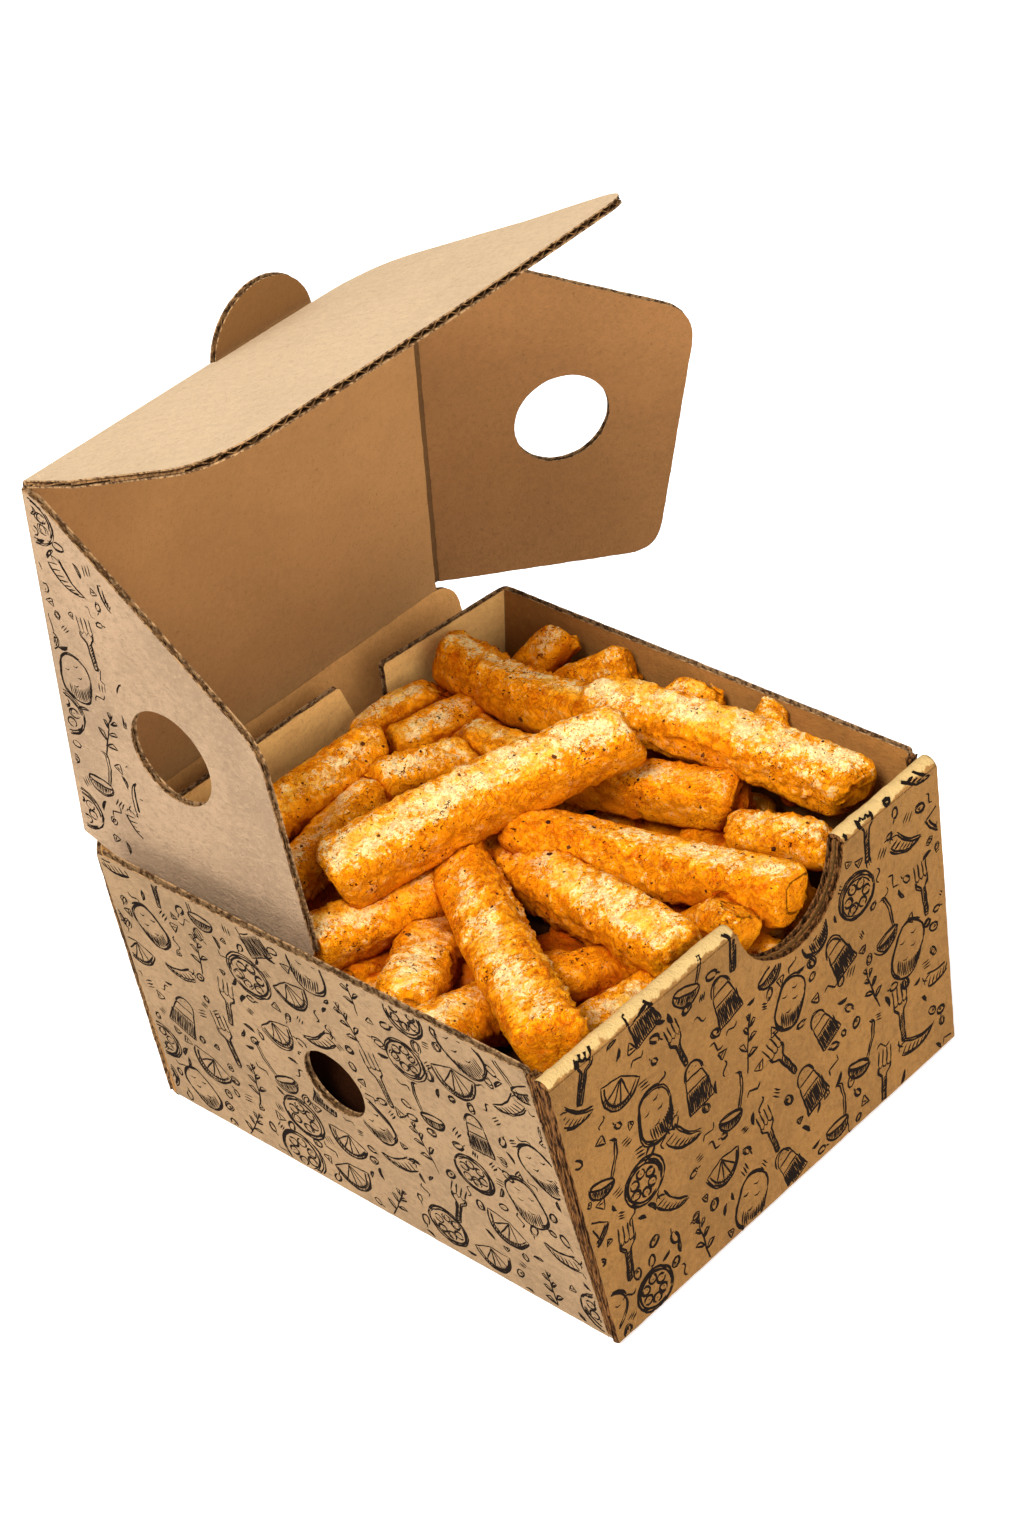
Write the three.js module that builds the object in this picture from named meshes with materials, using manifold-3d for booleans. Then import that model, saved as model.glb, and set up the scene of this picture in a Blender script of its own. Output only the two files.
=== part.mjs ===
// A takeaway box of corrugated card with its hinged lid standing open, heaped with thick seasoned fries.
// Millimetres. +Z is up, +X to the right, and the front wall faces -Y.
// The origin is the centre of the tray's underside.
import * as THREE from "three";
import { mergeVertices } from "three/addons/utils/BufferGeometryUtils.js";
import Module from "manifold-3d";

// ---- Driving dimensions ----
const BOARD = 1.6; // thickness of the corrugated card
const FOLD_GAP = 0.8; // a panel stops this far short of the axis of its crease
const CLEARANCE = 0.45; // space between the heap of fries and the card
const FRONT_CLEARANCE = 1.2; // the same behind the front wall

// The tray: a base with walls that flare, a front wall of doubled card and two corner flaps at the back.
const BASE_WIDTH = 105;
const BASE_DEPTH = 125.5;
const TRAY_HEIGHT = 69;
const SIDE_FLARE = 4.3; // how far each side wall leans out at its rim
const FRONT_LEAN = 2.5; // how far the front wall leans back at its rim
const FRONT_THICKNESS = 4; // outer ply, air and inner ply, rolled over the top
const FRONT_ROLL = 1.7; // radius of the rolled rim's edges
const LEFT_REAR_Y = 62.3; // rear end of the left wall at its rim
const RIGHT_REAR_Y = 55.5; // rear end of the right wall at its rim
const THUMB_X = 11.4; // the notch and the lid's tab are to the right of the middle
const NOTCH_RADIUS = 16;
const VENT = { y: 4.4, z: 34.6, radius: 8.2 };
const LEFT_CORNER_FLAP = { top: 10, shoulder: 16, shoulderZ: 50, foot: 20, rearY: 61 };
const RIGHT_CORNER_FLAP = { end: 21, rearY: 58.8, footY: 63.2 };
const RELIEF = { x: -47.1, z: 37 }; // slot beside the left wall, in which the lid's left flap swings down

// The back wall leans outwards and carries the lid on the crease along its top.
const HINGE_Y = 72.1;
const HINGE_Z = 66.1;
const BACK_FOOT_Y = 63.55;
const BACK_TOP = { left: -50, right: 57 };
const BACK_CORNER_RADIUS = 8;

// The lid: a main panel, two side flaps and a front panel that tucks over.
const LID_OPEN = 83.6; // degrees between the open lid and lying flat forwards
const LID_LENGTH = 86.3;
const LID_SIDES = { left: -50.8, right: 51.8 };
const LID_DROP = 3.4; // the lid's far edge falls off by this much at its right corner
const TAB_RADIUS = 13.2;
const FLAP_HOLE = { u: 35.7, v: 30.8, radius: 10.7 };
const RIGHT_FLAP_FOLD = 28.8; // degrees from flat
const LEFT_FLAP_FOLD = 91.6;
const TUCK_FOLD = 61;
const TUCK_LENGTH = 72;
const TUCK_SLOT = 3; // the tuck panel's fold edge stands this far clear of the tab

// The fries: the width of each, and the axis from one end to the other.
const FRIES = [
  { width: 12.8, from: [-33, 13, 70], to: [21, -8, 75] },
  { width: 11.2, from: [0, -1, 64], to: [17, -53, 59] },
  { width: 12.0, from: [36, 8, 68], to: [45, -45, 64] },
  { width: 11.6, from: [32, 47, 67], to: [34, 15, 65] },
  { width: 13.0, from: [-10, 8, 60], to: [-44, -49, 65] },
  { width: 12.2, from: [-2, 6, 55], to: [-9, -46, 60] },
  { width: 10.6, from: [17, 27, 62], to: [32, -24, 60] },
  { width: 14.4, from: [-21, 5, 49], to: [-46, -12, 56] },
  { width: 11.2, from: [-44, 12, 60], to: [-20, 5, 58] },
  { width: 11.6, from: [-38, 46, 64], to: [-2, 42, 65] },
  { width: 10.2, from: [-43, 30, 60], to: [-10, 35, 61] },
  { width: 10.2, from: [8, 41, 61], to: [29, 38, 60] },
  { width: 9.4, from: [11, 51, 61], to: [23, 47, 63] },
  { width: 9.0, from: [49, 34, 66], to: [41, 40, 56] },
  { width: 10.6, from: [49, 17, 65], to: [40, 30, 57] },
  { width: 10.0, from: [50, -4, 66], to: [39, 4, 56] },
  { width: 8.4, from: [51, -21, 66], to: [48, -31, 56] },
  { width: 10.0, from: [28, -34, 57], to: [31, -50, 60] },
  { width: 9.2, from: [36, -25, 54], to: [27, -20, 50] },
  { width: 11.6, from: [3, -41, 51], to: [5, -50, 59] },
  { width: 11.0, from: [-23, -29, 54], to: [-7, -35, 50] },
  { width: 10.0, from: [-38, -41, 53], to: [-15, -46, 53] },
  { width: 12.0, from: [-48, -24, 57], to: [-30, -24, 52] },
  { width: 10.0, from: [-42, 8, 50], to: [-25, 8, 46] },
  { width: 10.4, from: [7, -1, 46], to: [16, -31, 47] },
  { width: 10.2, from: [10, -43, 47], to: [26, -49, 48] },
  { width: 10.4, from: [35, 18, 55], to: [45, -12, 49] },
  { width: 9.8, from: [-3, 33, 63], to: [10, 26, 63] },
  { width: 9.8, from: [6, 36, 58], to: [24, 33, 58] },
  { width: 10.2, from: [-33, 32, 52], to: [-16, 34, 52] },
];
const FILLER_FRIES = 14; // fries between and under those of the list
const FILLER_Z = 44; // the lowest of their axes
const CORE = { side: 47.6, front: -52, back: 54, foot: 2.1, edgeZ: 43, crownZ: 50 };

// ---- Solids ----
const wasm = await Module();
wasm.setup();

function toSolid(geometry) {
  const bare = geometry.clone();
  bare.deleteAttribute("normal");
  bare.deleteAttribute("uv");
  const merged = mergeVertices(bare, 1e-4);
  return new wasm.Manifold(
    new wasm.Mesh({
      numProp: 3,
      vertProperties: new Float32Array(merged.attributes.position.array),
      triVerts: new Uint32Array(merged.index.array),
    }),
  );
}

function toGeometry(solid) {
  const mesh = solid.getMesh();
  const geometry = new THREE.BufferGeometry();
  geometry.setAttribute("position", new THREE.BufferAttribute(mesh.vertProperties, 3));
  geometry.setIndex(new THREE.BufferAttribute(mesh.triVerts, 1));
  geometry.computeVertexNormals();
  return geometry;
}

const joined = (solids) => solids.reduce((whole, solid) => whole.add(solid));

const radians = THREE.MathUtils.degToRad;

// A closed shape from corners [x, y, radius], each corner rounded off where it has a radius.
function roundedShape(corners) {
  const shape = new THREE.Shape();
  const point = ([x, y]) => new THREE.Vector2(x, y);
  corners.forEach((corner, i) => {
    const at = point(corner);
    const radius = corner[2] ?? 0;
    const before = point(corners[(i + corners.length - 1) % corners.length]);
    const after = point(corners[(i + 1) % corners.length]);
    const start = at.clone().add(before.sub(at).setLength(radius));
    const end = at.clone().add(after.sub(at).setLength(radius));
    if (i === 0) shape.moveTo(start.x, start.y);
    else shape.lineTo(start.x, start.y);
    if (radius > 0) shape.quadraticCurveTo(at.x, at.y, end.x, end.y);
  });
  shape.closePath();
  return shape;
}

// A flat piece of card: a shape in the plane of two axes through an origin, thickness shared to both sides.
function panel(shape, origin, xAxis, yAxis, thickness = BOARD) {
  const options = { depth: thickness, bevelEnabled: false, curveSegments: 8 };
  const geometry = new THREE.ExtrudeGeometry(shape, options);
  geometry.translate(0, 0, -thickness / 2);
  const normal = new THREE.Vector3().crossVectors(xAxis, yAxis);
  const frame = new THREE.Matrix4().makeBasis(xAxis, yAxis, normal).setPosition(origin);
  return toSolid(geometry.applyMatrix4(frame));
}

// A block with four corners below and four above.
// Each list goes left front, right front, right rear, left rear.
function block(low, high) {
  const geometry = new THREE.BoxGeometry(2, 2, 2);
  const position = geometry.attributes.position;
  for (let i = 0; i < position.count; i += 1) {
    const right = position.getX(i) > 0;
    const rear = position.getY(i) > 0;
    const corner = rear ? (right ? 2 : 3) : right ? 1 : 0;
    position.setXYZ(i, ...(position.getZ(i) > 0 ? high : low)[corner]);
  }
  return toSolid(geometry);
}

function straightBlock(x0, x1, y0, y1, z0, z1) {
  const level = (z) => [[x0, y0, z], [x1, y0, z], [x1, y1, z], [x0, y1, z]];
  return block(level(z0), level(z1));
}

// A round bar through the card, along X or Y.
function bar(radius, length, axis, x, y, z) {
  const geometry = new THREE.CylinderGeometry(radius, radius, length, 40);
  if (axis === "x") geometry.rotateZ(Math.PI / 2);
  return toSolid(geometry.translate(x, y, z));
}

// ---- The tray ----
const wallX = (z) => BASE_WIDTH / 2 + (SIDE_FLARE * z) / TRAY_HEIGHT; // outer face of a side wall
const frontY = (z) => -BASE_DEPTH / 2 + (FRONT_LEAN * z) / TRAY_HEIGHT; // outer face of the front wall
const rearY = (rimY, z) => BASE_DEPTH / 2 + ((rimY - BASE_DEPTH / 2) * z) / TRAY_HEIGHT;

// The four corners of a level of the tray: `side` in from the side walls, `front` in from the front wall,
// and `past` out beyond the rear ends of the side walls.
function level(z, side, front, past = 0) {
  const x = wallX(z) - side;
  return [
    [-x, frontY(z) + front, z],
    [x, frontY(z) + front, z],
    [x, rearY(RIGHT_REAR_Y, z) + past, z],
    [-x, rearY(LEFT_REAR_Y, z) + past, z],
  ];
}

function trayWalls() {
  const past = 8;
  const above = TRAY_HEIGHT + past;
  const whole = block(level(0, 0, 0), level(TRAY_HEIGHT, 0, 0));
  const hollow = [BOARD, FRONT_THICKNESS, past];
  const inside = block(level(BOARD, ...hollow), level(above, ...hollow));
  return whole.subtract(inside);
}

// What is cut off the front wall to round its rim: everything near the rim outside the rolled section.
function rolledRim() {
  const outer = frontY(TRAY_HEIGHT);
  const inner = outer + FRONT_THICKNESS;
  const reach = 6;
  const corner = new THREE.Shape();
  corner.moveTo(outer - reach, TRAY_HEIGHT + reach);
  corner.lineTo(outer - reach, TRAY_HEIGHT - FRONT_ROLL);
  corner.lineTo(outer, TRAY_HEIGHT - FRONT_ROLL);
  corner.absarc(outer + FRONT_ROLL, TRAY_HEIGHT - FRONT_ROLL, FRONT_ROLL, Math.PI, Math.PI / 2, true);
  corner.absarc(inner - FRONT_ROLL, TRAY_HEIGHT - FRONT_ROLL, FRONT_ROLL, Math.PI / 2, 0, true);
  corner.lineTo(inner, TRAY_HEIGHT + reach);
  corner.closePath();
  const depth = BASE_WIDTH + 4 * SIDE_FLARE;
  const geometry = new THREE.ExtrudeGeometry(corner, { depth, bevelEnabled: false, curveSegments: 5 });
  const frame = new THREE.Matrix4().makeBasis(
    new THREE.Vector3(0, 1, 0),
    new THREE.Vector3(0, 0, 1),
    new THREE.Vector3(1, 0, 0),
  );
  return toSolid(geometry.translate(0, 0, -depth / 2).applyMatrix4(frame));
}

// A corner flap stands across the back of the tray, from a side wall's rear end.
// Its two ends are given at the foot and at the rim, and `outline` is its front view.
function cornerFlap(footEnds, rimEnds, outline) {
  const plate = ([[x0, y0], [x1, y1]], z) => [
    [x0, y0 - BOARD, z],
    [x1, y1 - BOARD, z],
    [x1, y1, z],
    [x0, y0, z],
  ];
  const slab = block(plate(footEnds, 0), plate(rimEnds, TRAY_HEIGHT));
  const x = new THREE.Vector3(1, 0, 0);
  const z = new THREE.Vector3(0, 0, 1);
  return slab.intersect(panel(roundedShape(outline), new THREE.Vector3(0, BASE_DEPTH / 2, 0), x, z, 40));
}

function leftCornerFlap() {
  const { top, shoulder, shoulderZ, foot, rearY: endY } = LEFT_CORNER_FLAP;
  const outline = [
    [-wallX(0), 0],
    [foot, 0],
    [shoulder, shoulderZ, 6],
    [top, TRAY_HEIGHT, 1],
    [RELIEF.x, TRAY_HEIGHT, 1],
    [RELIEF.x, RELIEF.z, 2],
    [-wallX(RELIEF.z), RELIEF.z],
  ];
  const foots = [[-wallX(0), BASE_DEPTH / 2], [foot, BASE_DEPTH / 2]];
  const rims = [[-wallX(TRAY_HEIGHT), LEFT_REAR_Y], [foot, endY]];
  return cornerFlap(foots, rims, outline);
}

function rightCornerFlap() {
  const { end, rearY: endY, footY } = RIGHT_CORNER_FLAP;
  const outline = [
    [end, 0],
    [wallX(0), 0],
    [wallX(TRAY_HEIGHT), TRAY_HEIGHT],
    [end, TRAY_HEIGHT, 1],
  ];
  const foots = [[end, footY], [wallX(0), BASE_DEPTH / 2]];
  const rims = [[end, endY], [wallX(TRAY_HEIGHT), RIGHT_REAR_Y]];
  return cornerFlap(foots, rims, outline);
}

function backWall() {
  const up = new THREE.Vector3(0, HINGE_Y - BACK_FOOT_Y, HINGE_Z);
  const height = up.length() - FOLD_GAP;
  const foot = BASE_WIDTH / 2;
  const shape = roundedShape([
    [-foot, -1],
    [foot, -1],
    [BACK_TOP.right, height, BACK_CORNER_RADIUS],
    [BACK_TOP.left, height, BACK_CORNER_RADIUS],
  ]);
  const origin = new THREE.Vector3(0, BACK_FOOT_Y, 0);
  return panel(shape, origin, new THREE.Vector3(1, 0, 0), up.normalize());
}

function traySolid() {
  const whole = joined([
    trayWalls(),
    leftCornerFlap(),
    rightCornerFlap(),
    backWall(),
    straightBlock(-BASE_WIDTH / 2, BASE_WIDTH / 2, 0, BACK_FOOT_Y, 0, BOARD),
  ]);
  const { y, z, radius } = VENT;
  const notchLength = 3 * FRONT_THICKNESS;
  const notchY = frontY(TRAY_HEIGHT) + FRONT_THICKNESS / 2;
  return whole
    .subtract(rolledRim())
    .subtract(bar(NOTCH_RADIUS, notchLength, "y", THUMB_X, notchY, TRAY_HEIGHT))
    .subtract(bar(radius, 3 * BASE_WIDTH, "x", 0, y, z))
    .intersect(straightBlock(-BASE_WIDTH, BASE_WIDTH, -BASE_DEPTH, BASE_DEPTH, 0, 2 * TRAY_HEIGHT));
}

// ---- The lid ----
const ALONG_X = new THREE.Vector3(1, 0, 0);
const LID_UP = new THREE.Vector3(0, -Math.cos(radians(LID_OPEN)), Math.sin(radians(LID_OPEN)));
const LID_INWARD = new THREE.Vector3().crossVectors(ALONG_X, LID_UP);
const HINGE = new THREE.Vector3(0, HINGE_Y, HINGE_Z);

// The direction across a side flap: flat it continues the lid sideways, and folded by 90 degrees
// it points inwards.
function flapAcross(side, fold) {
  const flat = ALONG_X.clone().multiplyScalar(side * Math.cos(radians(fold)));
  return flat.addScaledVector(LID_INWARD, Math.sin(radians(fold)));
}

// A side flap of the lid, drawn with v across from its crease and u along the lid from the hinge.
function sideFlap(side, fold, corners) {
  const shape = roundedShape(corners);
  const hole = new THREE.Path();
  hole.absarc(FLAP_HOLE.v, FLAP_HOLE.u, FLAP_HOLE.radius, 0, 2 * Math.PI);
  shape.holes.push(hole);
  const crease = HINGE.clone().addScaledVector(ALONG_X, side > 0 ? LID_SIDES.right : LID_SIDES.left);
  return panel(shape, crease, flapAcross(side, fold), LID_UP);
}

// The main panel, its thumb tab and the left flap, which stays folded down inside the tray's left wall.
function lidSolid() {
  const top = LID_LENGTH - FOLD_GAP;
  const right = LID_SIDES.right - FOLD_GAP;
  const shape = new THREE.Shape();
  shape.moveTo(LID_SIDES.left, FOLD_GAP);
  shape.lineTo(right, FOLD_GAP);
  shape.lineTo(right, top - LID_DROP);
  shape.absarc(THUMB_X, top, TAB_RADIUS, 0, Math.PI, false);
  shape.lineTo(LID_SIDES.left, top);
  shape.closePath();
  const leftFlap = sideFlap(-1, LEFT_FLAP_FOLD, [
    [-BOARD / 2, FOLD_GAP],
    [9, -1.2, 1],
    [33, 0, 1],
    [64.2, 2.8, 1.5],
    [55.4, 50.6, 6],
    [4, LID_LENGTH - 1.6, 1],
    [-BOARD / 2, LID_LENGTH - FOLD_GAP],
  ]);
  return panel(shape, HINGE, ALONG_X, LID_UP).add(leftFlap);
}

function rightFlapSolid() {
  return sideFlap(1, RIGHT_FLAP_FOLD, [
    [FOLD_GAP, 1],
    [51.2, -5.2, 7],
    [62, 54.2, 8],
    [14, 79.4, 8],
    [FOLD_GAP, LID_LENGTH - FOLD_GAP - LID_DROP],
  ]);
}

// The tuck panel slopes forward from the end of the lid and widens towards its rounded corners.
function tuckSolid() {
  const slot = TAB_RADIUS + 0.8;
  const across = LID_UP.clone().multiplyScalar(Math.cos(radians(TUCK_FOLD)));
  across.addScaledVector(LID_INWARD, Math.sin(radians(TUCK_FOLD)));
  const shape = roundedShape([
    [LID_SIDES.left, FOLD_GAP],
    [THUMB_X - slot, FOLD_GAP],
    [THUMB_X - slot, TUCK_SLOT],
    [THUMB_X + slot, TUCK_SLOT],
    [38.8, TUCK_SLOT, 13],
    [47.5, 44],
    [56.5, TUCK_LENGTH - 4, 10],
    [10, TUCK_LENGTH, 30],
    [-55.6, TUCK_LENGTH - 2.5, 15],
    [-54.2, 22],
  ]);
  const crease = HINGE.clone().addScaledVector(LID_UP, LID_LENGTH);
  return panel(shape, crease, ALONG_X, across);
}

// ---- The fries ----
function seededRandom(seed) {
  let state = seed;
  return () => {
    state = (state * 1664525 + 1013904223) % 4294967296;
    return state / 4294967296;
  };
}

// One fry: a bar of eight sides with blunt rounded ends, slightly bent and uneven along its length.
function fry({ width, from, to }, random) {
  const start = new THREE.Vector3(...from);
  const axis = new THREE.Vector3(...to).sub(start);
  const length = axis.length();
  const half = width / 2;
  const edge = 0.3 * half; // how far the ends draw in
  const flat = half - edge;
  const chamfer = 0.55 * flat;
  const section = new THREE.Shape();
  section.moveTo(flat, chamfer - flat);
  section.lineTo(flat, flat - chamfer);
  section.lineTo(flat - chamfer, flat);
  section.lineTo(chamfer - flat, flat);
  section.lineTo(-flat, flat - chamfer);
  section.lineTo(-flat, chamfer - flat);
  section.lineTo(chamfer - flat, -flat);
  section.lineTo(flat - chamfer, -flat);
  section.closePath();
  const stick = new THREE.ExtrudeGeometry(section, {
    depth: length,
    steps: 2,
    bevelThickness: 0.75 * half,
    bevelSize: edge,
    bevelSegments: 2,
  });
  stick.deleteAttribute("normal");
  stick.deleteAttribute("uv");
  const geometry = mergeVertices(stick, 1e-4);
  const bend = (random() - 0.5) * 0.07 * length;
  const taper = (random() - 0.5) * 0.16;
  const position = geometry.attributes.position;
  for (let i = 0; i < position.count; i += 1) {
    const along = (2 * position.getZ(i)) / length - 1;
    const girth = 1 + taper * along + (random() - 0.5) * 0.08;
    const x = position.getX(i) * girth + bend * (1 - along * along);
    position.setXYZ(i, x, position.getY(i) * girth, position.getZ(i));
  }
  const turn = new THREE.Quaternion().setFromUnitVectors(new THREE.Vector3(0, 0, 1), axis.normalize());
  geometry.rotateZ((random() - 0.5) * 0.9);
  geometry.applyQuaternion(turn).translate(start.x, start.y, start.z);
  return toSolid(geometry);
}

// Fries that fill in between the listed ones, lying nearly level on the core in every direction.
function fillerFries(random) {
  return Array.from({ length: FILLER_FRIES }, (_, i) => {
    const column = (i % 4) / 3 - 0.5;
    const row = Math.floor(i / 4) / 3 - 0.5;
    const x = 62 * column + 10 * (random() - 0.5);
    const y = 76 * row + 10 * (random() - 0.5);
    const z = FILLER_Z + 4 * random();
    const heading = Math.PI * random();
    const reach = 19 + 5 * random();
    const [dx, dy] = [reach * Math.cos(heading), reach * Math.sin(heading)];
    const dz = 3 * (random() - 0.5);
    return { width: 10.5 + 2 * random(), from: [x - dx, y - dy, z - dz], to: [x + dx, y + dy, z + dz] };
  });
}

// The closed mass under the fries, with a low crown.
function heapCore() {
  const { side, front, back, foot, edgeZ, crownZ } = CORE;
  const geometry = new THREE.BoxGeometry(2 * side, back - front, edgeZ - foot, 8, 8, 1);
  geometry.translate(0, (front + back) / 2, (edgeZ + foot) / 2);
  const position = geometry.attributes.position;
  for (let i = 0; i < position.count; i += 1) {
    const x = position.getX(i);
    const y = position.getY(i);
    const inward = (1 - (x / side) ** 2) * (1 - ((2 * y - front - back) / (back - front)) ** 2);
    if (position.getZ(i) > foot + 1) position.setZ(i, edgeZ + (crownZ - edgeZ) * Math.min(1, 1.6 * inward));
  }
  return toSolid(geometry);
}

// All the space that the heap may fill: inside the walls, in front of the corner flaps and beside
// the lid's left flap.
function heapSpace() {
  const high = TRAY_HEIGHT + 40;
  const side = BOARD + CLEARANCE;
  const front = FRONT_THICKNESS + FRONT_CLEARANCE;
  const back = -(BOARD + 0.6 + CLEARANCE);
  const space = block(level(BOARD + CLEARANCE, side, front, back), level(high, side, front, back));
  const flapSwing = straightBlock(-BASE_WIDTH, RELIEF.x - CLEARANCE, -7, BASE_DEPTH, -1, 2 * high);
  return space.subtract(flapSwing);
}

function friesSolid() {
  const random = seededRandom(11);
  const fries = [...FRIES, ...fillerFries(random)].map((one) => fry(one, random));
  const heap = joined([heapCore(), ...fries]).intersect(heapSpace());
  const pieces = heap.decompose().sort((a, b) => b.volume() - a.volume());
  return pieces[0];
}

// ---- The scene graph ----
const card = (color) => new THREE.MeshStandardMaterial({ color, roughness: 0.92, metalness: 0 });
const fried = new THREE.MeshStandardMaterial({ color: 0xe8a545, roughness: 0.7, metalness: 0 });

const parts = [
  ["tray", traySolid(), card(0xc79f75)],
  ["lid", lidSolid(), card(0xb98e63)],
  ["right_lid_flap", rightFlapSolid(), card(0xa9794a)],
  ["tuck_panel", tuckSolid(), card(0xe2c198)],
  ["fries", friesSolid(), fried],
];

const box = new THREE.Group();
for (const [name, solid, material] of parts) {
  const mesh = new THREE.Mesh(toGeometry(solid), material);
  mesh.name = name;
  box.add(mesh);
}

export default box;
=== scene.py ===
"""The looks of an open takeaway box of corrugated card, heaped with thick seasoned fries.

Lengths are in millimetres in the row's frame (+Z up, the front wall faces -Y) and turn into metres
where a mesh is made.
"""

from math import asin, atan, cos, exp, pi, radians, sin, sqrt

import bpy
import numpy as np
from mathutils import Matrix, Vector, noise
from mathutils.bvhtree import BVHTree
from mathutils.geometry import delaunay_2d_cdt


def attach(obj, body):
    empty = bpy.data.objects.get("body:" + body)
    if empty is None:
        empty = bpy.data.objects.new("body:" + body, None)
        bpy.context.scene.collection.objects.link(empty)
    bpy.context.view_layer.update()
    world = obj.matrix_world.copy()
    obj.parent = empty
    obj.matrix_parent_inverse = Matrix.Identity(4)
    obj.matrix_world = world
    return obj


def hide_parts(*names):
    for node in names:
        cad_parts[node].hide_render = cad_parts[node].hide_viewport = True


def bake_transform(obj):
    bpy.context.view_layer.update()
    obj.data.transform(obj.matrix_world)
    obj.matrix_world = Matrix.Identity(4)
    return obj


MM = 0.001
TURN = 2 * pi
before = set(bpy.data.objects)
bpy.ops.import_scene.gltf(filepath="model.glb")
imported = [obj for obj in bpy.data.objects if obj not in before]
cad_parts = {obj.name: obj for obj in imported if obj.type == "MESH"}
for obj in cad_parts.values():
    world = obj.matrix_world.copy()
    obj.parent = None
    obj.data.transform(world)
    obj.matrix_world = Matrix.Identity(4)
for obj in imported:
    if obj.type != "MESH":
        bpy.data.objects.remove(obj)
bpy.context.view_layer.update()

# ---- Dimensions, the same as in the solids ----
BOARD = 1.6
HALF = BOARD / 2
FOLD_GAP = 0.8
HALF_WIDTH, HALF_DEPTH, TRAY_HEIGHT = 52.5, 62.75, 69.0
SIDE_FLARE, FRONT_LEAN = 4.3, 2.5
FRONT_THICKNESS = 4.0
LEFT_REAR_Y, RIGHT_REAR_Y = 62.3, 55.5
THUMB_X, NOTCH_RADIUS = 11.4, 16.0
VENT_Y, VENT_Z, VENT_RADIUS = 4.4, 34.6, 8.2
RELIEF_X, RELIEF_Z = -47.1, 37.0
HINGE = np.array([0.0, 72.1, 66.1])
BACK_FOOT_Y = 63.55
LID_OPEN = radians(83.6)
LID_LENGTH = 86.3
LID_LEFT, LID_RIGHT, LID_DROP = -50.8, 51.8, 3.4
TAB_RADIUS = 13.2
HOLE_U, HOLE_V, HOLE_RADIUS = 35.7, 30.8, 10.7
RIGHT_FLAP_FOLD, LEFT_FLAP_FOLD = radians(28.8), radians(91.6)
TUCK_FOLD, TUCK_LENGTH, TUCK_SLOT = radians(61), 72.0, 3.0

# ---- Make-up of the board ----
LINER = 0.3  # thickness of each outer sheet
FLUTE_PITCH, FLUTE_SHEET = 3.3, 0.2
EDGE_STEP = 1.1  # spacing of points along a cut edge
FRAY = 0.16  # how far a cut edge wanders
GRID = 5.0  # spacing of points inside a sheet
OUT, IN, EDGE, CORE = range(4)  # places of a panel's materials
SLOTS = {
    "tray_body": "tray_card", "lid_body": "lid_card",
    "right_flap_body": "flap_card", "tuck_body": "tuck_card",
}
PANELS = {}  # name -> (outline and holes, sheet, side of the sheet that is outside)

X, Y, Z = np.eye(3)
LID_UP = np.array([0.0, -cos(LID_OPEN), sin(LID_OPEN)])
LID_INWARD = np.cross(X, LID_UP)
LID_FOLD = HINGE + LID_LENGTH * LID_UP


def unit(v):
    return v / np.linalg.norm(v)


def units(rows):
    return rows / np.maximum(np.linalg.norm(rows, axis=1), 1e-9)[:, None]


def rotation(angle):
    return np.array([[cos(angle), sin(angle)], [-sin(angle), cos(angle)]])


def wall_x(z):
    return HALF_WIDTH + SIDE_FLARE * z / TRAY_HEIGHT


def front_y(z):
    return -HALF_DEPTH + FRONT_LEAN * z / TRAY_HEIGHT


# ---- Meshes ----
def add_object(name, data):
    made = bpy.data.objects.new(name, data)
    bpy.context.scene.collection.objects.link(made)
    return made


class Build:
    """Gathers vertices, faces, material numbers and named values for each vertex, then makes a piece."""

    def __init__(self, *channels):
        self.points, self.faces, self.slots, self.smooth = [], [], [], []
        self.values = {name: [] for name in channels}
        self.count = 0

    def add(self, points, faces, slot=0, smooth=False, **values):
        self.points.append(points)
        for name, gathered in self.values.items():
            gathered.append(values.get(name, np.zeros(len(points))))
        self.faces += [tuple(int(i) + self.count for i in face) for face in faces]
        self.slots += [slot] * len(faces) if np.isscalar(slot) else slot
        self.smooth += [smooth] * len(faces)
        self.count += len(points)
        return self

    def make(self, name, materials, body=None, slot=None):
        """The piece, which rides on the body. Without a body it is attached to none."""
        mesh = bpy.data.meshes.new(name)
        mesh.from_pydata((np.concatenate(self.points) * MM).tolist(), [], self.faces)
        for material in materials:
            mesh.materials.append(material)
        mesh.polygons.foreach_set("material_index", self.slots)
        mesh.polygons.foreach_set("use_smooth", self.smooth)
        for channel, gathered in self.values.items():
            values = mesh.attributes.new(channel, "FLOAT", "POINT")
            values.data.foreach_set("value", np.concatenate(gathered).astype(np.float32))
        mesh.update()
        piece = add_object(name, mesh)
        if body:
            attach(piece, body)
        slot or SLOTS[body]
        return piece


def tube(rings, size, corners=((0, 0), (1, 0), (1, 1), (0, 1))):
    """The quads along rings of `size` points, and the two end faces. A quad's corners are given as
    steps to the next ring and round it."""
    quads = [
        tuple((k + ahead) * size + (i + around) % size for ahead, around in corners)
        for k in range(rings - 1) for i in range(size)
    ]
    return quads, [tuple(range(size)), tuple(range((rings - 1) * size, rings * size))[::-1]]


def slab(faces, count):
    """The faces of a slab between two copies of a sheet: the low copy, the high one and the sides."""
    sheet = faces.tolist()
    sides = {side for face in sheet for side in zip(face, face[1:] + face[:1])}
    rim = sorted((i, j) for i, j in sides if (j, i) not in sides)
    return flipped(sheet), (faces + count).tolist(), [(i, j, j + count, i + count) for i, j in rim]


def flipped(faces, when=True):
    return [face[::-1] for face in faces] if when else faces


def grain(points, scale, seed=0.0):
    """Smooth noise from -1 to 1 at each point, with bumps about `scale` apart."""
    return np.array([noise.noise(Vector(p) / scale + Vector((seed, 2.7 * seed, -seed))) for p in points])


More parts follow.
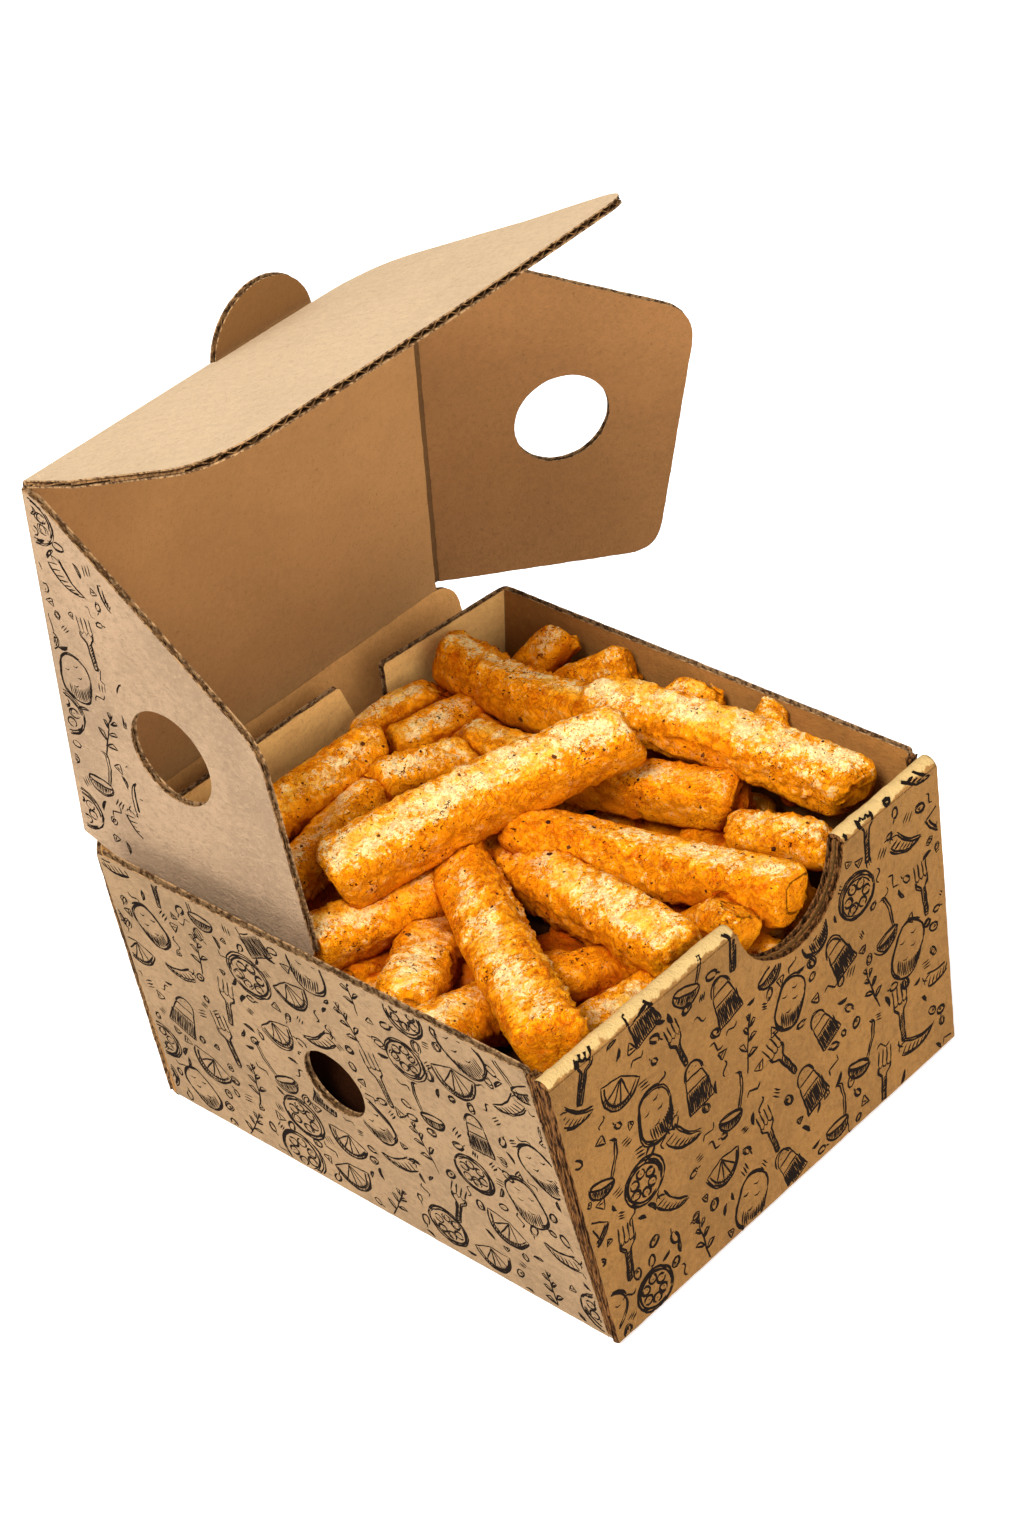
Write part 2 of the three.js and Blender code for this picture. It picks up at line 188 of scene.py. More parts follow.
# ---- Outlines ----
def curve(a, corner, b, steps):
    """Points on the smooth curve from a to b that leans towards the corner."""
    t = np.linspace(0, 1, steps + 1)[:, None]
    return (1 - t) ** 2 * a + 2 * t * (1 - t) * corner + t * t * b


def rounded(corners):
    """A closed outline from corners (x, y, radius), each corner rounded off where it has a radius."""
    points = []
    for i, (x, y, *radius) in enumerate(corners):
        at = np.array([x, y], float)
        if not radius:
            points.append([at])
            continue
        ahead = corners[(i + 1) % len(corners)]
        start, end = (at + radius[0] * unit(other[:2] - at) for other in (corners[i - 1], ahead))
        points.append(curve(start, at, end, 8))
    return np.concatenate(points)


def circle(x, y, radius, start=0.0, end=TURN, steps=48):
    angles = np.linspace(start, end, steps, endpoint=abs(end - start) < TURN - 1e-6)
    return np.stack([x + radius * np.cos(angles), y + radius * np.sin(angles)], 1)


def sides_of(loops):
    """The two ends of each straight side of the loops."""
    return [side for loop in loops for side in zip(loop, np.roll(loop, -1, 0))]


def inside(loops, points):
    found = np.zeros(len(points), bool)
    x, y = points.T
    for (x0, y0), (x1, y1) in sides_of(loops):
        if y0 != y1:
            found ^= ((y0 > y) != (y1 > y)) & (x < (x1 - x0) * (y - y0) / (y1 - y0) + x0)
    return found


def edge_distance(loops, points):
    nearest = np.full(len(points), 1e9)
    for a, b in sides_of(loops):
        along = b - a
        t = np.clip(((points - a) @ along) / max(along @ along, 1e-12), 0, 1)
        nearest = np.minimum(nearest, np.linalg.norm(points - a - t[:, None] * along, axis=1))
    return nearest


def frayed(loop, seed):
    """The loop in short steps, its points moved a little in and out, as torn paper fibres are."""
    points = []
    for a, b in sides_of([loop]):
        count = max(1, int(round(np.linalg.norm(b - a) / EDGE_STEP)))
        points += [a + (b - a) * k / count for k in range(count)]
    points = np.array(points)
    tangent = np.roll(points, -1, 0) - np.roll(points, 1, 0)
    normal = units(np.stack([tangent[:, 1], -tangent[:, 0]], 1))
    flat = np.column_stack([points, np.zeros(len(points))])
    shift = FRAY * (0.6 * grain(flat, 1.3, seed) + 0.7 * grain(flat, 4.1, seed + 5))
    return points + shift[:, None] * normal


# ---- Corrugated board ----
def flat_sheet(origin, x_axis, y_axis, bow=lambda x, y: 0):
    """A surface to lay board on: places x and y in its plane and w along its normal, with a slight bow."""
    x_axis, y_axis = unit(x_axis), unit(y_axis)
    normal = unit(np.cross(x_axis, y_axis))

    def place(x, y, w):
        flat = origin + x[:, None] * x_axis + y[:, None] * y_axis
        return flat + np.broadcast_to(w + bow(x, y), x.shape)[:, None] * normal

    return place


def ruled_sheet(foot, rim):
    """An upright surface across the box. foot and rim are its outer face's ends at the floor and the rim."""
    lines = [np.array(ends) - (0, HALF) for ends in (foot, rim)]

    def place(x, z, w):
        low, high = (y0 + (y1 - y0) * (x - x0) / (x1 - x0) for (x0, y0), (x1, y1) in lines)
        return np.stack([x, low + (high - low) * z / TRAY_HEIGHT - w, z], 1)

    return place


def lay_liner(build, loops, place, low, high, flute, seed, slots):
    """One paper sheet of the board between the offsets low and high. slots: low face, high face, cut edge."""
    edges = [frayed(loop, seed + 3 * i) for i, loop in enumerate(loops)]
    border = np.concatenate(edges)
    (x0, y0), (x1, y1) = border.min(0), border.max(0)
    grid = np.stack(np.meshgrid(np.arange(x0, x1, GRID), np.arange(y0, y1, GRID)), 2).reshape(-1, 2)
    grid = grid[inside(edges, grid)]
    grid = grid[edge_distance(edges, grid) > 0.45 * GRID]
    links, start = [], 0
    for edge in edges:
        links += [(start + k, start + (k + 1) % len(edge)) for k in range(len(edge))]
        start += len(edge)
    found = delaunay_2d_cdt([Vector(p) for p in np.concatenate([border, grid]).tolist()], links, [], 1, 1e-6)
    flat = np.array([tuple(p) for p in found[0]])
    triangles = np.array(found[2])
    triangles = triangles[inside(edges, flat[triangles].mean(1))]
    a, b, c = (flat[triangles[:, k]] for k in range(3))
    (bx, by), (cx, cy) = (b - a).T, (c - a).T
    triangles = np.where((bx * cy - cx * by < 0)[:, None], triangles[:, ::-1], triangles)
    points = np.concatenate([place(*flat.T, w) for w in (low, high)])
    across = np.tile(flat[:, 0] if flute == "y" else flat[:, 1], 2)
    layers = slab(triangles, len(flat))
    kinds = [slot for slot, layer in zip(slots, layers) for _ in layer]
    build.add(points, sum(layers, []), kinds, across=across)


def lay_flutes(build, loops, place, flute):
    """The wavy middle of the board, as narrow strips along the flutes."""
    swap = flute == "x"
    sides = sides_of([loop[:, ::-1] if swap else loop for loop in loops])
    height = (BOARD - 2 * LINER - FLUTE_SHEET) / 2
    inset, step, stride, shortest = 0.35, FLUTE_PITCH / 8, 9.0, 0.6
    ends_x = [start[0] for start, _ in sides]
    x = min(ends_x) + inset
    while x + step < max(ends_x) - inset:
        middle = x + step / 2
        crossings = sorted(
            y0 + (y1 - y0) * (middle - x0) / (x1 - x0)
            for (x0, y0), (x1, y1) in sides if (x0 > middle) != (x1 > middle)
        )
        for low, high in zip(crossings[::2], crossings[1::2]):
            low, high = low + inset, high - inset
            if high - low < shortest:
                continue
            stations = np.linspace(low, high, 2 + int((high - low) / stride))
            rows = []
            for u, lift in ((x, -1), (x + step, -1), (x + step, 1), (x, 1)):
                w = height * sin(TURN * u / FLUTE_PITCH) + lift * FLUTE_SHEET / 2
                pair = np.full(len(stations), u), stations
                rows.append(place(*(pair[::-1] if swap else pair), w))
            quads, ends = tube(len(stations), 4)
            build.add(np.stack(rows, 1).reshape(-1, 3), flipped(ends + quads, swap), CORE)
        x += step


def board(name, loops, place, flute, outer, materials, seed, body="tray_body"):
    """A panel of corrugated board. outer is +1 where its outer side is the side of the normal."""
    build = Build("across")
    for sign, kind in ((outer, OUT), (-outer, IN)):
        low, high = sorted((sign * HALF, sign * (HALF - LINER)))
        faces = (EDGE, kind, EDGE) if sign > 0 else (kind, EDGE, EDGE)
        lay_liner(build, loops, place, low, high, flute, seed + 11 * (sign + 1), faces)
    lay_flutes(build, loops, place, flute)
    PANELS[name] = loops, place, outer
    return build.make(name, materials, body)


def fold(name, ends, side_a, side_b, materials, seed, body="tray_body", gap=FOLD_GAP, bend=None):
    """The rounded paper of a crease: it joins two panels that stop `gap` short of the line `ends`.
    A side is (direction away from the crease, outward normal). bend is (point on the crease, body,
    body) where the crease moves: then the piece is attached to no body, and `body` is only looked up in
    SLOTS."""
    start, end = ends
    (along_a, out_a), (along_b, out_b) = [(unit(d), unit(n)) for d, n in (side_a, side_b)]
    reach, surface = gap + 0.12, HALF - 0.03
    spread = HALF / (1 + out_a @ out_b)
    arcs = []
    for sign, steps in ((1, 8), (-1, 6)):
        a = along_a * reach + sign * surface * out_a
        b = along_b * reach + sign * surface * out_b
        arcs.append(curve(a, sign * spread * (out_a + out_b), b, steps))
    section = np.concatenate([arcs[0], arcs[1][::-1]])
    rows = max(2, int(np.linalg.norm(end - start) / 1.5))
    points = []
    for k in range(rows + 1):
        centre = start + (end - start) * k / rows
        wrinkle = 1 + 0.05 * grain(centre + section, 2.3, seed)[:, None]
        points.append(centre + section * np.clip(wrinkle, 0.93, 1.0))
    quads, caps = tube(rows + 1, len(section))
    kinds = ([OUT] * len(arcs[0]) + [IN] * len(arcs[1])) * rows + [EDGE, EDGE]
    turn = np.cross(section[1] - section[0], section[2] - section[1]) @ (end - start)
    build = Build().add(np.concatenate(points), flipped(quads + caps, turn > 0), kinds, smooth=True)
    piece = build.make(name, materials, None if bend else body, SLOTS[body])
    if bend:
        line, *bodies = bend
        start, end = (tuple((line + FOLD_GAP * along) * MM) for along in (along_a, along_b))
        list(bodies)
        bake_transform(piece)
        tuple(start)
        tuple(end)


# ---- Materials ----
class Value:
    """An output of a shader node, which can be written into sums like a number."""

    def __init__(self, shader, socket):
        self.shader, self.socket = shader, socket

    def __add__(self, other):
        return self.shader.math("ADD", self, other)

    def __sub__(self, other):
        return self.shader.math("SUBTRACT", self, other)

    def __rmul__(self, other):
        return self.shader.math("MULTIPLY", self, other)

    __mul__ = __rmul__


def put(node, **inputs):
    """Sets a node's inputs, by their names with _ for a space or by their numbers after an n."""
    for key, value in inputs.items():
        socket = node.inputs[int(key[1:]) if key[1:].isdigit() else key.replace("_", " ")]
        if isinstance(value, Value):
            node.id_data.links.new(value.socket, socket)
        else:
            socket.default_value = value
    return node


class Shader:
    """A short way to write a node tree. Its colour is laid on in coats, one over the other."""

    def __init__(self, name):
        self.material = bpy.data.materials.new(name)
        self.material.use_nodes = True
        self.nodes = self.material.node_tree.nodes
        self.surface = self.nodes["Principled BSDF"]
        self.object_space = self.node("TexCoord", "Object")

    def node(self, kind, output, settings=(), **inputs):
        """The value of one output of a new node."""
        made = self.nodes.new("ShaderNode" + kind)
        for key, value in settings:
            setattr(made, key, value)
        return Value(self, put(made, **inputs).outputs[output])

    def stretched(self, scale):
        return self.node("Mapping", "Vector", Vector=self.object_space, Scale=scale)

    def noise(self, size, detail=3.0, rough=0.55, where=None, distort=0.0):
        """Noise whose largest bumps are about `size` millimetres apart."""
        shape = {"Scale": 1 / (size * MM), "Detail": detail, "Roughness": rough, "Distortion": distort}
        return self.node("TexNoise", "Fac", Vector=where or self.object_space, **shape)

    def flecks(self, size, clump, rarity):
        """1 inside small ragged spots that gather in clumps."""
        spots = self.noise(size, 2.0, 0.7, distort=1.2) + 0.35 * self.noise(clump, 2.0)
        return self.ramp(spots, rarity, rarity + 0.03)

    def upward(self, vector):
        return self.node("SeparateXYZ", "Z", Vector=vector)

    def facing_up(self):
        """1 where the surface faces the sky, 0 where it is upright."""
        return self.upward(self.node("NewGeometry", "Normal"))

    def value(self, name):
        return self.node("Attribute", "Fac", [("attribute_name", name)])

    def math(self, operation, a, b=0.0):
        return self.node("Math", 0, [("operation", operation)], n0=a, n1=b)

    def ramp(self, factor, low, high):
        """0 below low, 1 above high, smooth between."""
        smooth = [("interpolation_type", "SMOOTHSTEP")]
        return self.node("MapRange", "Result", smooth, Value=factor, From_Min=low, From_Max=high)

    def mix(self, factor, a, b):
        a, b = ((*color, 1.0) if isinstance(color, tuple) else color for color in (a, b))
        return self.node("Mix", 2, [("data_type", "RGBA")], Factor=factor, n6=a, n7=b)

    def coat(self, tone, cover):
        """Lays a tone over the colour so far, where and as far as cover says."""
        self.color = self.mix(cover, self.color, tone)

    def bump(self, height, depth, strength=1.0):
        bumps = self.node("Bump", "Normal", Height=height, Distance=depth * MM, Strength=strength)
        put(self.surface, Normal=bumps)

    def finish(self, roughness, specular):
        put(self.surface, Base_Color=self.color, Roughness=roughness, Specular_IOR_Level=specular)
        return self.material


def srgb(r, g, b):
    """A colour as seen on a screen, 0 to 255, as the light values that a shader takes."""
    return tuple(((c / 255 + 0.055) / 1.055) ** 2.4 if c > 10.3 else c / 255 / 12.92 for c in (r, g, b))


def kraft(name, tone, highlight_tone=None, flutes=0.5, fibres=1.0, mottle=1.0, tooth=0.3, painted_tab_shade=None):
    """The face of the board: brown paper with fibres, mottling and flutes that show through.
    Where the surface faces up it goes over to a lighter tone, a painted highlight, and on the lid's tab to a
    darker tone, a painted shade."""
    s = Shader("kraft_" + name)
    tone = srgb(*tone)
    light, dark, pit, fleck = (tuple(min(1.0, c * share) for c in tone) for share in (1.22, 0.76, 0.62, 0.45))
    felt = s.noise(1.3, 5.0, 0.74, s.stretched((1.0, 0.7, 1.0)))
    fine = s.noise(0.5, 3.0, 0.7)
    s.color = dark
    s.coat(light, s.ramp(s.noise(30, 3.0, 0.6), 0.36, 0.64))
    s.coat(tone, 1 - 0.5 * mottle)
    s.coat(light, 0.6 * fibres * s.ramp(felt, 0.5, 0.64))
    s.coat(dark, 0.7 * fibres * s.ramp(felt, 0.5, 0.36))
    s.coat(pit, 0.55 * s.ramp(fine, 0.46, 0.3))
    s.coat(fleck, 0.4 * s.ramp(s.noise(0.8, 1.0, 0.5, s.stretched((1.0, 0.3, 0.7))), 0.72, 0.78))
    # painted highlight: the paper turns lighter where it faces up, with a wandering border
    if highlight_tone:
        wander = 1.6 * (s.noise(2.4, 3.0, 0.6) - 0.5)
        s.coat(s.mix(0.8, s.color, srgb(*highlight_tone)), s.ramp(s.facing_up() + wander, 0.35, 0.6))
    # painted shade: above the lid's fold the tab is painted darker
    if painted_tab_shade:
        foot, blur = LID_FOLD[2] * MM, 0.6 * MM
        above = s.ramp(s.upward(s.object_space), foot - blur, foot + blur)
        s.coat(s.mix(0.8, s.color, srgb(*painted_tab_shade)), above)
    wave = s.math("SINE", TURN / FLUTE_PITCH * s.value("across"))
    s.bump(0.55 * fine + 0.9 * felt + 0.1 * flutes * wave, tooth, 0.9)
    return s.finish(0.9, 0.1)


def raw_edge(name, pale, dark, stretch=(1.0, 1.0, 1.0)):
    """Cut paper: pale torn fibres with dark gaps."""
    s = Shader(name)
    patches = s.noise(1.1, 3.0, 0.65, s.stretched(stretch))
    s.color = s.mix(s.ramp(patches, 0.38, 0.62), srgb(*dark), srgb(*pale))
    s.bump(patches, 0.15, 0.7)
    return s.finish(0.92, 0.05)


def ink(name, tone, paper):
    """Dry charcoal-coloured print that lets the paper through here and there."""
    s = Shader(name)
    s.color = s.mix(0.6 * s.ramp(s.noise(0.6, 2.0, 0.6), 0.64, 0.76), srgb(*tone), srgb(*paper))
    return s.finish(0.95, 0.04)


def fried(name):
    """Fried potato: pale and golden faces, orange seasoning, ragged specks; painted shade makes it browner
    where it is shut in and on faces turned from the sky.
    """
    s = Shader(name)
    pale, gold, amber = srgb(255, 228, 162), srgb(252, 187, 66), srgb(247, 157, 12)
    orange, deep, shadow, speck = srgb(238, 140, 5), srgb(190, 84, 2), srgb(164, 60, 1), srgb(94, 36, 4)
    up, closed = s.facing_up(), s.value("shelter")
    patches = s.noise(8, 6.0, 0.7, distort=0.5)
    blotches = s.noise(3.0, 8.0, 0.75, distort=0.4)
    powder = s.noise(0.9, 5.0, 0.78)
    grit = s.noise(0.95, 3.0, 0.62, distort=0.6)
    creases = s.math("ABSOLUTE", s.noise(3.6, 6.0, 0.7, distort=0.8) - 0.5)
    # painted shade: warmth rises where other fries shut a fry in
    warmth = 0.8 * blotches + 0.45 * powder + 0.7 * (grit - 0.5) + 0.16 * s.value("edge") + 0.22 * closed
    # painted light: the up term paints faces turned up paler
    warmth = warmth - 0.12 * s.value("crest") - 0.05 * up + 0.12 * (s.value("tone") - 0.55)
    s.color = gold
    for tone, cover in (
        (pale, s.ramp(patches, 0.43, 0.52)),
        (pale, 0.5 * s.ramp(powder, 0.5, 0.62)),
        (amber, 0.6 * s.ramp(powder, 0.5, 0.38)),
        (amber, s.ramp(warmth, 0.6, 0.65)),
        (orange, s.ramp(warmth, 0.67, 0.74)),
        (deep, s.ramp(warmth, 0.76, 0.86)),
        (gold, 0.3 * s.ramp(grit, 0.54, 0.62)),
        (deep, 0.35 * s.ramp(grit, 0.46, 0.38)),
        # painted shade: faces turned to the side and down are painted more amber
        (amber, 0.45 * s.ramp(up, 0.45, -0.3)),
        # painted shade: fries shut in by others are painted orange, and the most shut in go over to the
        # shadow tone
        (orange, 0.6 * s.ramp(closed, 0.15, 0.6)),
        (shadow, s.ramp(closed, 0.5, 0.95)),
        (deep, 0.85 * (s.ramp(creases, 0.02, 0.0) * s.ramp(warmth, 0.5, 0.66))),
        (deep, 0.8 * s.flecks(0.6, 6, 0.79)),
        (speck, s.flecks(0.9, 8, 0.83)),
    ):
        s.coat(tone, cover)
    s.bump(0.9 * powder + 0.9 * blotches + 0.25 * s.ramp(creases, 0.0, 0.05) + 0.3 * grit, 0.5)
    put(s.surface, Subsurface_Weight=0.1, Subsurface_Radius=(1.0, 0.45, 0.12), Subsurface_Scale=1.2 * MM)
    return s.finish(0.3 * powder + 0.55, 0.03)


def crumb(name, *tone):
    s = Shader(name)
    shade = s.noise(0.6, 2.0, 0.6)
    tone = srgb(*tone)
    s.color = s.mix(s.ramp(shade, 0.3, 0.7), tuple(0.55 * c for c in tone), tone)
    s.bump(shade, 0.1, 0.6)
    return s.finish(0.8, 0.08)


EDGE_CARD = raw_edge("cut_card", (160, 124, 84), (72, 48, 28))
CORE_CARD = raw_edge("flute_paper", (104, 74, 43), (54, 36, 20))
PALE_CORE = raw_edge("pale_flute_paper", (138, 100, 61), (80, 55, 32))
TORN_CARD = raw_edge("torn_card", (122, 80, 42), (28, 15, 7), (2.2, 2.2, 0.4))
WALL_OUT = kraft("wall", (155, 125, 91), tooth=1.2)
WALL_IN = kraft("inside", (155, 106, 52), fibres=0.6)
# painted light: the same inner paper as the tray's, painted much lighter on the corner flaps, which stand in
# shade
CORNER_IN_PAINTED_LIGHT = kraft("corner", (250, 190, 112), fibres=0.6)
BACK_IN = kraft("back_inside", (206, 148, 84), fibres=0.5)
FRONT_OUT = kraft("front", (161, 114, 59), tooth=2.3)
LID_OUT = kraft("lid_outside", (160, 132, 103), fibres=0.9, tooth=0.8)
# the lid's tab above the fold gets a painted shade
LID_IN = kraft("lid", (164, 118, 70), flutes=0.3, fibres=0.4, mottle=0.5, tooth=0.2, painted_tab_shade=(131, 94, 54))
# painted shade: the lid's inner paper in a darker copy, for the right flap
FLAP_IN_PAINTED_SHADE = kraft("flap", (139, 96, 55), flutes=0.3, fibres=0.5, mottle=0.5, tooth=0.2)
# painted shade: a dark copy of the inner paper, for the dark line along the crease between the lid and the
# right flap
CREASE_PAINTED_SHADE = kraft("crease", (96, 66, 36), flutes=0.0, fibres=0.5)
TUCK_OUT = kraft("tuck", (194, 166, 131), fibres=0.5, mottle=0.3, tooth=0.45)
# the rim gets a painted highlight on its upward faces
RIM_CARD = kraft("rim", (157, 111, 57), (218, 184, 121), flutes=0.0, tooth=1.1)
INK = ink("print_ink", (24, 16, 11), (74, 52, 31))
FRIED = fried("seasoned_fry")
HERB, PEPPER = crumb("dried_herb", 98, 50, 12), crumb("ground_pepper", 66, 28, 10)
CRUMB, SHADED_FRY = crumb("crust_crumb", 240, 158, 46), crumb("fries_in_the_dark", 56, 25, 6)

TRAY = [WALL_OUT, WALL_IN, EDGE_CARD, CORE_CARD]
BACK = [WALL_OUT, BACK_IN, EDGE_CARD, PALE_CORE]
CORNER = [WALL_OUT, CORNER_IN_PAINTED_LIGHT, EDGE_CARD, PALE_CORE]
FRONT = [FRONT_OUT, FRONT_OUT, TORN_CARD, TORN_CARD]
LID = [LID_OUT, LID_IN, EDGE_CARD, PALE_CORE]
CREASE = [LID_OUT, CREASE_PAINTED_SHADE, EDGE_CARD, PALE_CORE]
RIGHT_FLAP = [LID_OUT, FLAP_IN_PAINTED_SHADE, EDGE_CARD, CORE_CARD]
TUCK = [TUCK_OUT, LID_IN, EDGE_CARD, PALE_CORE]


# ---- The tray ----
SIDE_TILT = atan(SIDE_FLARE / TRAY_HEIGHT)
FRONT_TILT = atan(FRONT_LEAN / TRAY_HEIGHT)
SIDE_TOP = TRAY_HEIGHT / cos(SIDE_TILT)
FRONT_TOP = TRAY_HEIGHT / cos(FRONT_TILT)
FRONT_UP = np.array([0, sin(FRONT_TILT), cos(FRONT_TILT)])
FRONT_NORMAL = np.array([0, -cos(FRONT_TILT), sin(FRONT_TILT)])
BACK_RISE = np.array([0, HINGE[1] - BACK_FOOT_Y, HINGE[2]])
BACK_UP = unit(BACK_RISE)
BACK_NORMAL = -np.cross(X, BACK_UP)
ROLL = FRONT_THICKNESS / 2
NOTCH_SPREAD = asin(ROLL / NOTCH_RADIUS)
NOTCH_REACH = sqrt(NOTCH_RADIUS ** 2 - ROLL ** 2)  # half the notch's width where the rim's roll starts


def side_axes(side):
    """The directions up a side wall and out of it."""
    out, up = cos(SIDE_TILT), sin(SIDE_TILT)
    return np.array([side * up, 0, out]), np.array([side * out, 0, -up])


def corner_depth(z):
    """How far behind the front face a side wall ends: the doubled front shows its ends above."""
    return 2.7 + 3.1 * z / TRAY_HEIGHT


def corner_layers(side, name, seed):
    """The crushed layers between the front wall's outer ply and the end of a side wall."""
    build = Build()
    rings = 60
    heights = np.linspace(1.6, TRAY_HEIGHT - 0.9, rings)
    gap = corner_depth(heights) - BOARD
    quads, ends = tube(rings, 4)
    for k, share in enumerate((0.1, 0.3, 0.5, 0.7, 0.9)):
        at = np.stack([np.full(rings, 9.0 * k), np.zeros(rings), heights], 1)
        ripple = 0.22 * np.sin(heights * (1.1 + 0.3 * k) + 2 * k) if k % 2 else 0.0
        depth = BOARD + gap * (share + 0.12 * grain(at, 5, seed) + ripple * 0.25)
        thick = 0.035 + gap * (0.045 + 0.02 * grain(at, 3, seed + 2))
        reach = wall_x(heights) - 0.1 - 0.35 * np.clip(grain(at, 2.2, seed + 5), 0, 1)
        rows = [
            np.stack([side * x, front_y(heights) + depth + lift * thick, heights], 1)
            for x, lift in ((reach, -1), (reach, 1), (reach - 2.4, 1), (reach - 2.4, -1))
        ]
        build.add(np.stack(rows, 1).reshape(-1, 3), flipped(ends + quads, side > 0))
    build.make(name, [TORN_CARD], "tray_body")


def side_wall(side, rear_rim, name, seed):
    """A side wall with its vent. Its front end stands behind the edge of the front wall's outer ply."""
    outline = rounded([
        (front_y(0) + corner_depth(0), 1.1),
        (HALF_DEPTH - FOLD_GAP, 1.1),
        (rear_rim - FOLD_GAP, SIDE_TOP, 0.8),
        (front_y(TRAY_HEIGHT) + corner_depth(TRAY_HEIGHT), SIDE_TOP, 0.8),
    ])
    vent = circle(VENT_Y, VENT_Z / cos(SIDE_TILT), VENT_RADIUS)
    up, outward = side_axes(side)
    sheet = flat_sheet(side * HALF_WIDTH * X - HALF * outward, Y, up)
    return board(name, [outline, vent], sheet, "x", side, TRAY, seed)


def front_sheet(depth):
    """The plane at a depth behind the front wall's outer face."""
    return flat_sheet(-HALF_DEPTH * Y - depth * FRONT_NORMAL, X, FRONT_UP)


def front_ply(name, depth, outer, inset, foot, seed):
    """One ply of the front wall with the thumb notch. The rolled rim closes it at the top."""
    top = FRONT_TOP - ROLL
    half_foot, half_top = wall_x(0) - inset, wall_x(TRAY_HEIGHT) - inset
    notch = circle(THUMB_X, FRONT_TOP, NOTCH_RADIUS, -NOTCH_SPREAD, NOTCH_SPREAD - pi, 36)
    outline = np.concatenate([
        [(-half_foot, foot), (half_foot, foot), (half_top, top), (THUMB_X + NOTCH_REACH, top)],
        notch[1:-1],
        [(THUMB_X - NOTCH_REACH, top), (-half_top, top)],
    ])
    board(name, [outline], front_sheet(depth), "y", outer, FRONT, seed)


def rim_roll(name, x0, x1, seed):
    """The board rolled over the top of the front wall: an outer paper and the crushed layers in it."""
    rows, steps = int(abs(x1 - x0) / 0.8), 15
    centre_y = front_y(TRAY_HEIGHT) + ROLL
    build = Build()
    for outer, inner, over, under in ((ROLL, ROLL - 0.35, OUT, EDGE), (ROLL - 0.4, 0.5, CORE, CORE)):
        angles = np.linspace(pi, 0, steps)
        shell = np.array([
            (radius * cos(a), radius * sin(a))
            for radius, way in ((outer, angles), (inner, angles[::-1])) for a in way
        ])
        size = len(shell)
        outward = np.column_stack([np.zeros(size), shell]) / ROLL
        lift = np.clip(shell[:, 1] / ROLL, 0, 1)
        points = []
        for k in range(rows + 1):
            x = x0 + (x1 - x0) * k / rows
            ring = np.stack([np.full(size, x), centre_y + shell[:, 0], TRAY_HEIGHT - ROLL + shell[:, 1]], 1)
            squeeze = ring * (1, 0.35, 0.35)
            dent = 0.26 * (grain(squeeze, 1.7, seed) - 0.35) + 0.4 * (grain(squeeze, 7.0, seed + 3) - 0.25)
            dent -= 0.35 * exp(-min(abs(x - x0), abs(x - x1)) / 2.5)
            points.append(ring + outward * (np.minimum(dent, 0.05) * lift)[:, None])
        quads, ends = tube(rows + 1, size, ((1, 0), (1, 1), (0, 1), (0, 0)))
        kinds = ([over] * (steps - 1) + [under] * (size - steps + 1)) * rows + [EDGE, EDGE]
        build.add(np.concatenate(points), quads + ends, kinds, smooth=True)
    build.make(name, [RIM_CARD, WALL_IN, TORN_CARD, TORN_CARD], "tray_body")


def build_tray():
    left = side_wall(-1, LEFT_REAR_Y, "left_wall", 1)
    side_wall(1, RIGHT_REAR_Y, "right_wall", 2)
    front_ply("front_wall", HALF, 1, 0.0, 0.9, 3)
    front_ply("front_inner_ply", FRONT_THICKNESS - HALF, -1, BOARD + 0.2, BOARD + 0.1, 4)
    corner_layers(-1, "left_corner_layers", 12)
    corner_layers(1, "right_corner_layers", 13)
    low, high = wall_x(0), wall_x(TRAY_HEIGHT)
    rim_roll("rim_left", 0.1 - high, THUMB_X - NOTCH_REACH - 0.4, 5)
    rim_roll("rim_right", THUMB_X + NOTCH_REACH + 0.4, high - 0.1, 6)
    for name, foot, rim, outline, seed in (
        ("left_corner_flap", [(-low, HALF_DEPTH), (20, HALF_DEPTH)], [(-high, LEFT_REAR_Y), (20, 61)],
         [(FOLD_GAP - low, BOARD), (20, BOARD), (16, 50, 6), (10, TRAY_HEIGHT, 1), (RELIEF_X, TRAY_HEIGHT, 1),
          (RELIEF_X, RELIEF_Z, 2), (FOLD_GAP - wall_x(RELIEF_Z), RELIEF_Z)], 7),
        ("right_corner_flap", [(21, 63.2), (low, HALF_DEPTH)], [(21, 58.8), (high, RIGHT_REAR_Y)],
         [(21, BOARD), (low - FOLD_GAP, BOARD), (high - FOLD_GAP, TRAY_HEIGHT, 1), (21, TRAY_HEIGHT, 1)], 8),
    ):
        board(name, [rounded(outline)], ruled_sheet(foot, rim), "x", -1, CORNER, seed)
    foot, top = FOLD_GAP + 0.2, np.linalg.norm(BACK_RISE) - FOLD_GAP
    outline = rounded([(-HALF_WIDTH, foot), (HALF_WIDTH, foot), (57, top, 8), (-50, top, 8)])
    board("back_wall", [outline], flat_sheet(BACK_FOOT_Y * Y, X, BACK_RISE), "y", -1, BACK, 9)
    side, front, back = HALF_WIDTH - 1, 1 - HALF_DEPTH, BACK_FOOT_Y - FOLD_GAP
    outline = rounded([(-side, front), (side, front), (side, back), (-side, back)])
    board("floor", [outline], flat_sheet(HALF * Z, X, Y), "y", -1, TRAY, 10)
    tray_folds()
    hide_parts("tray")


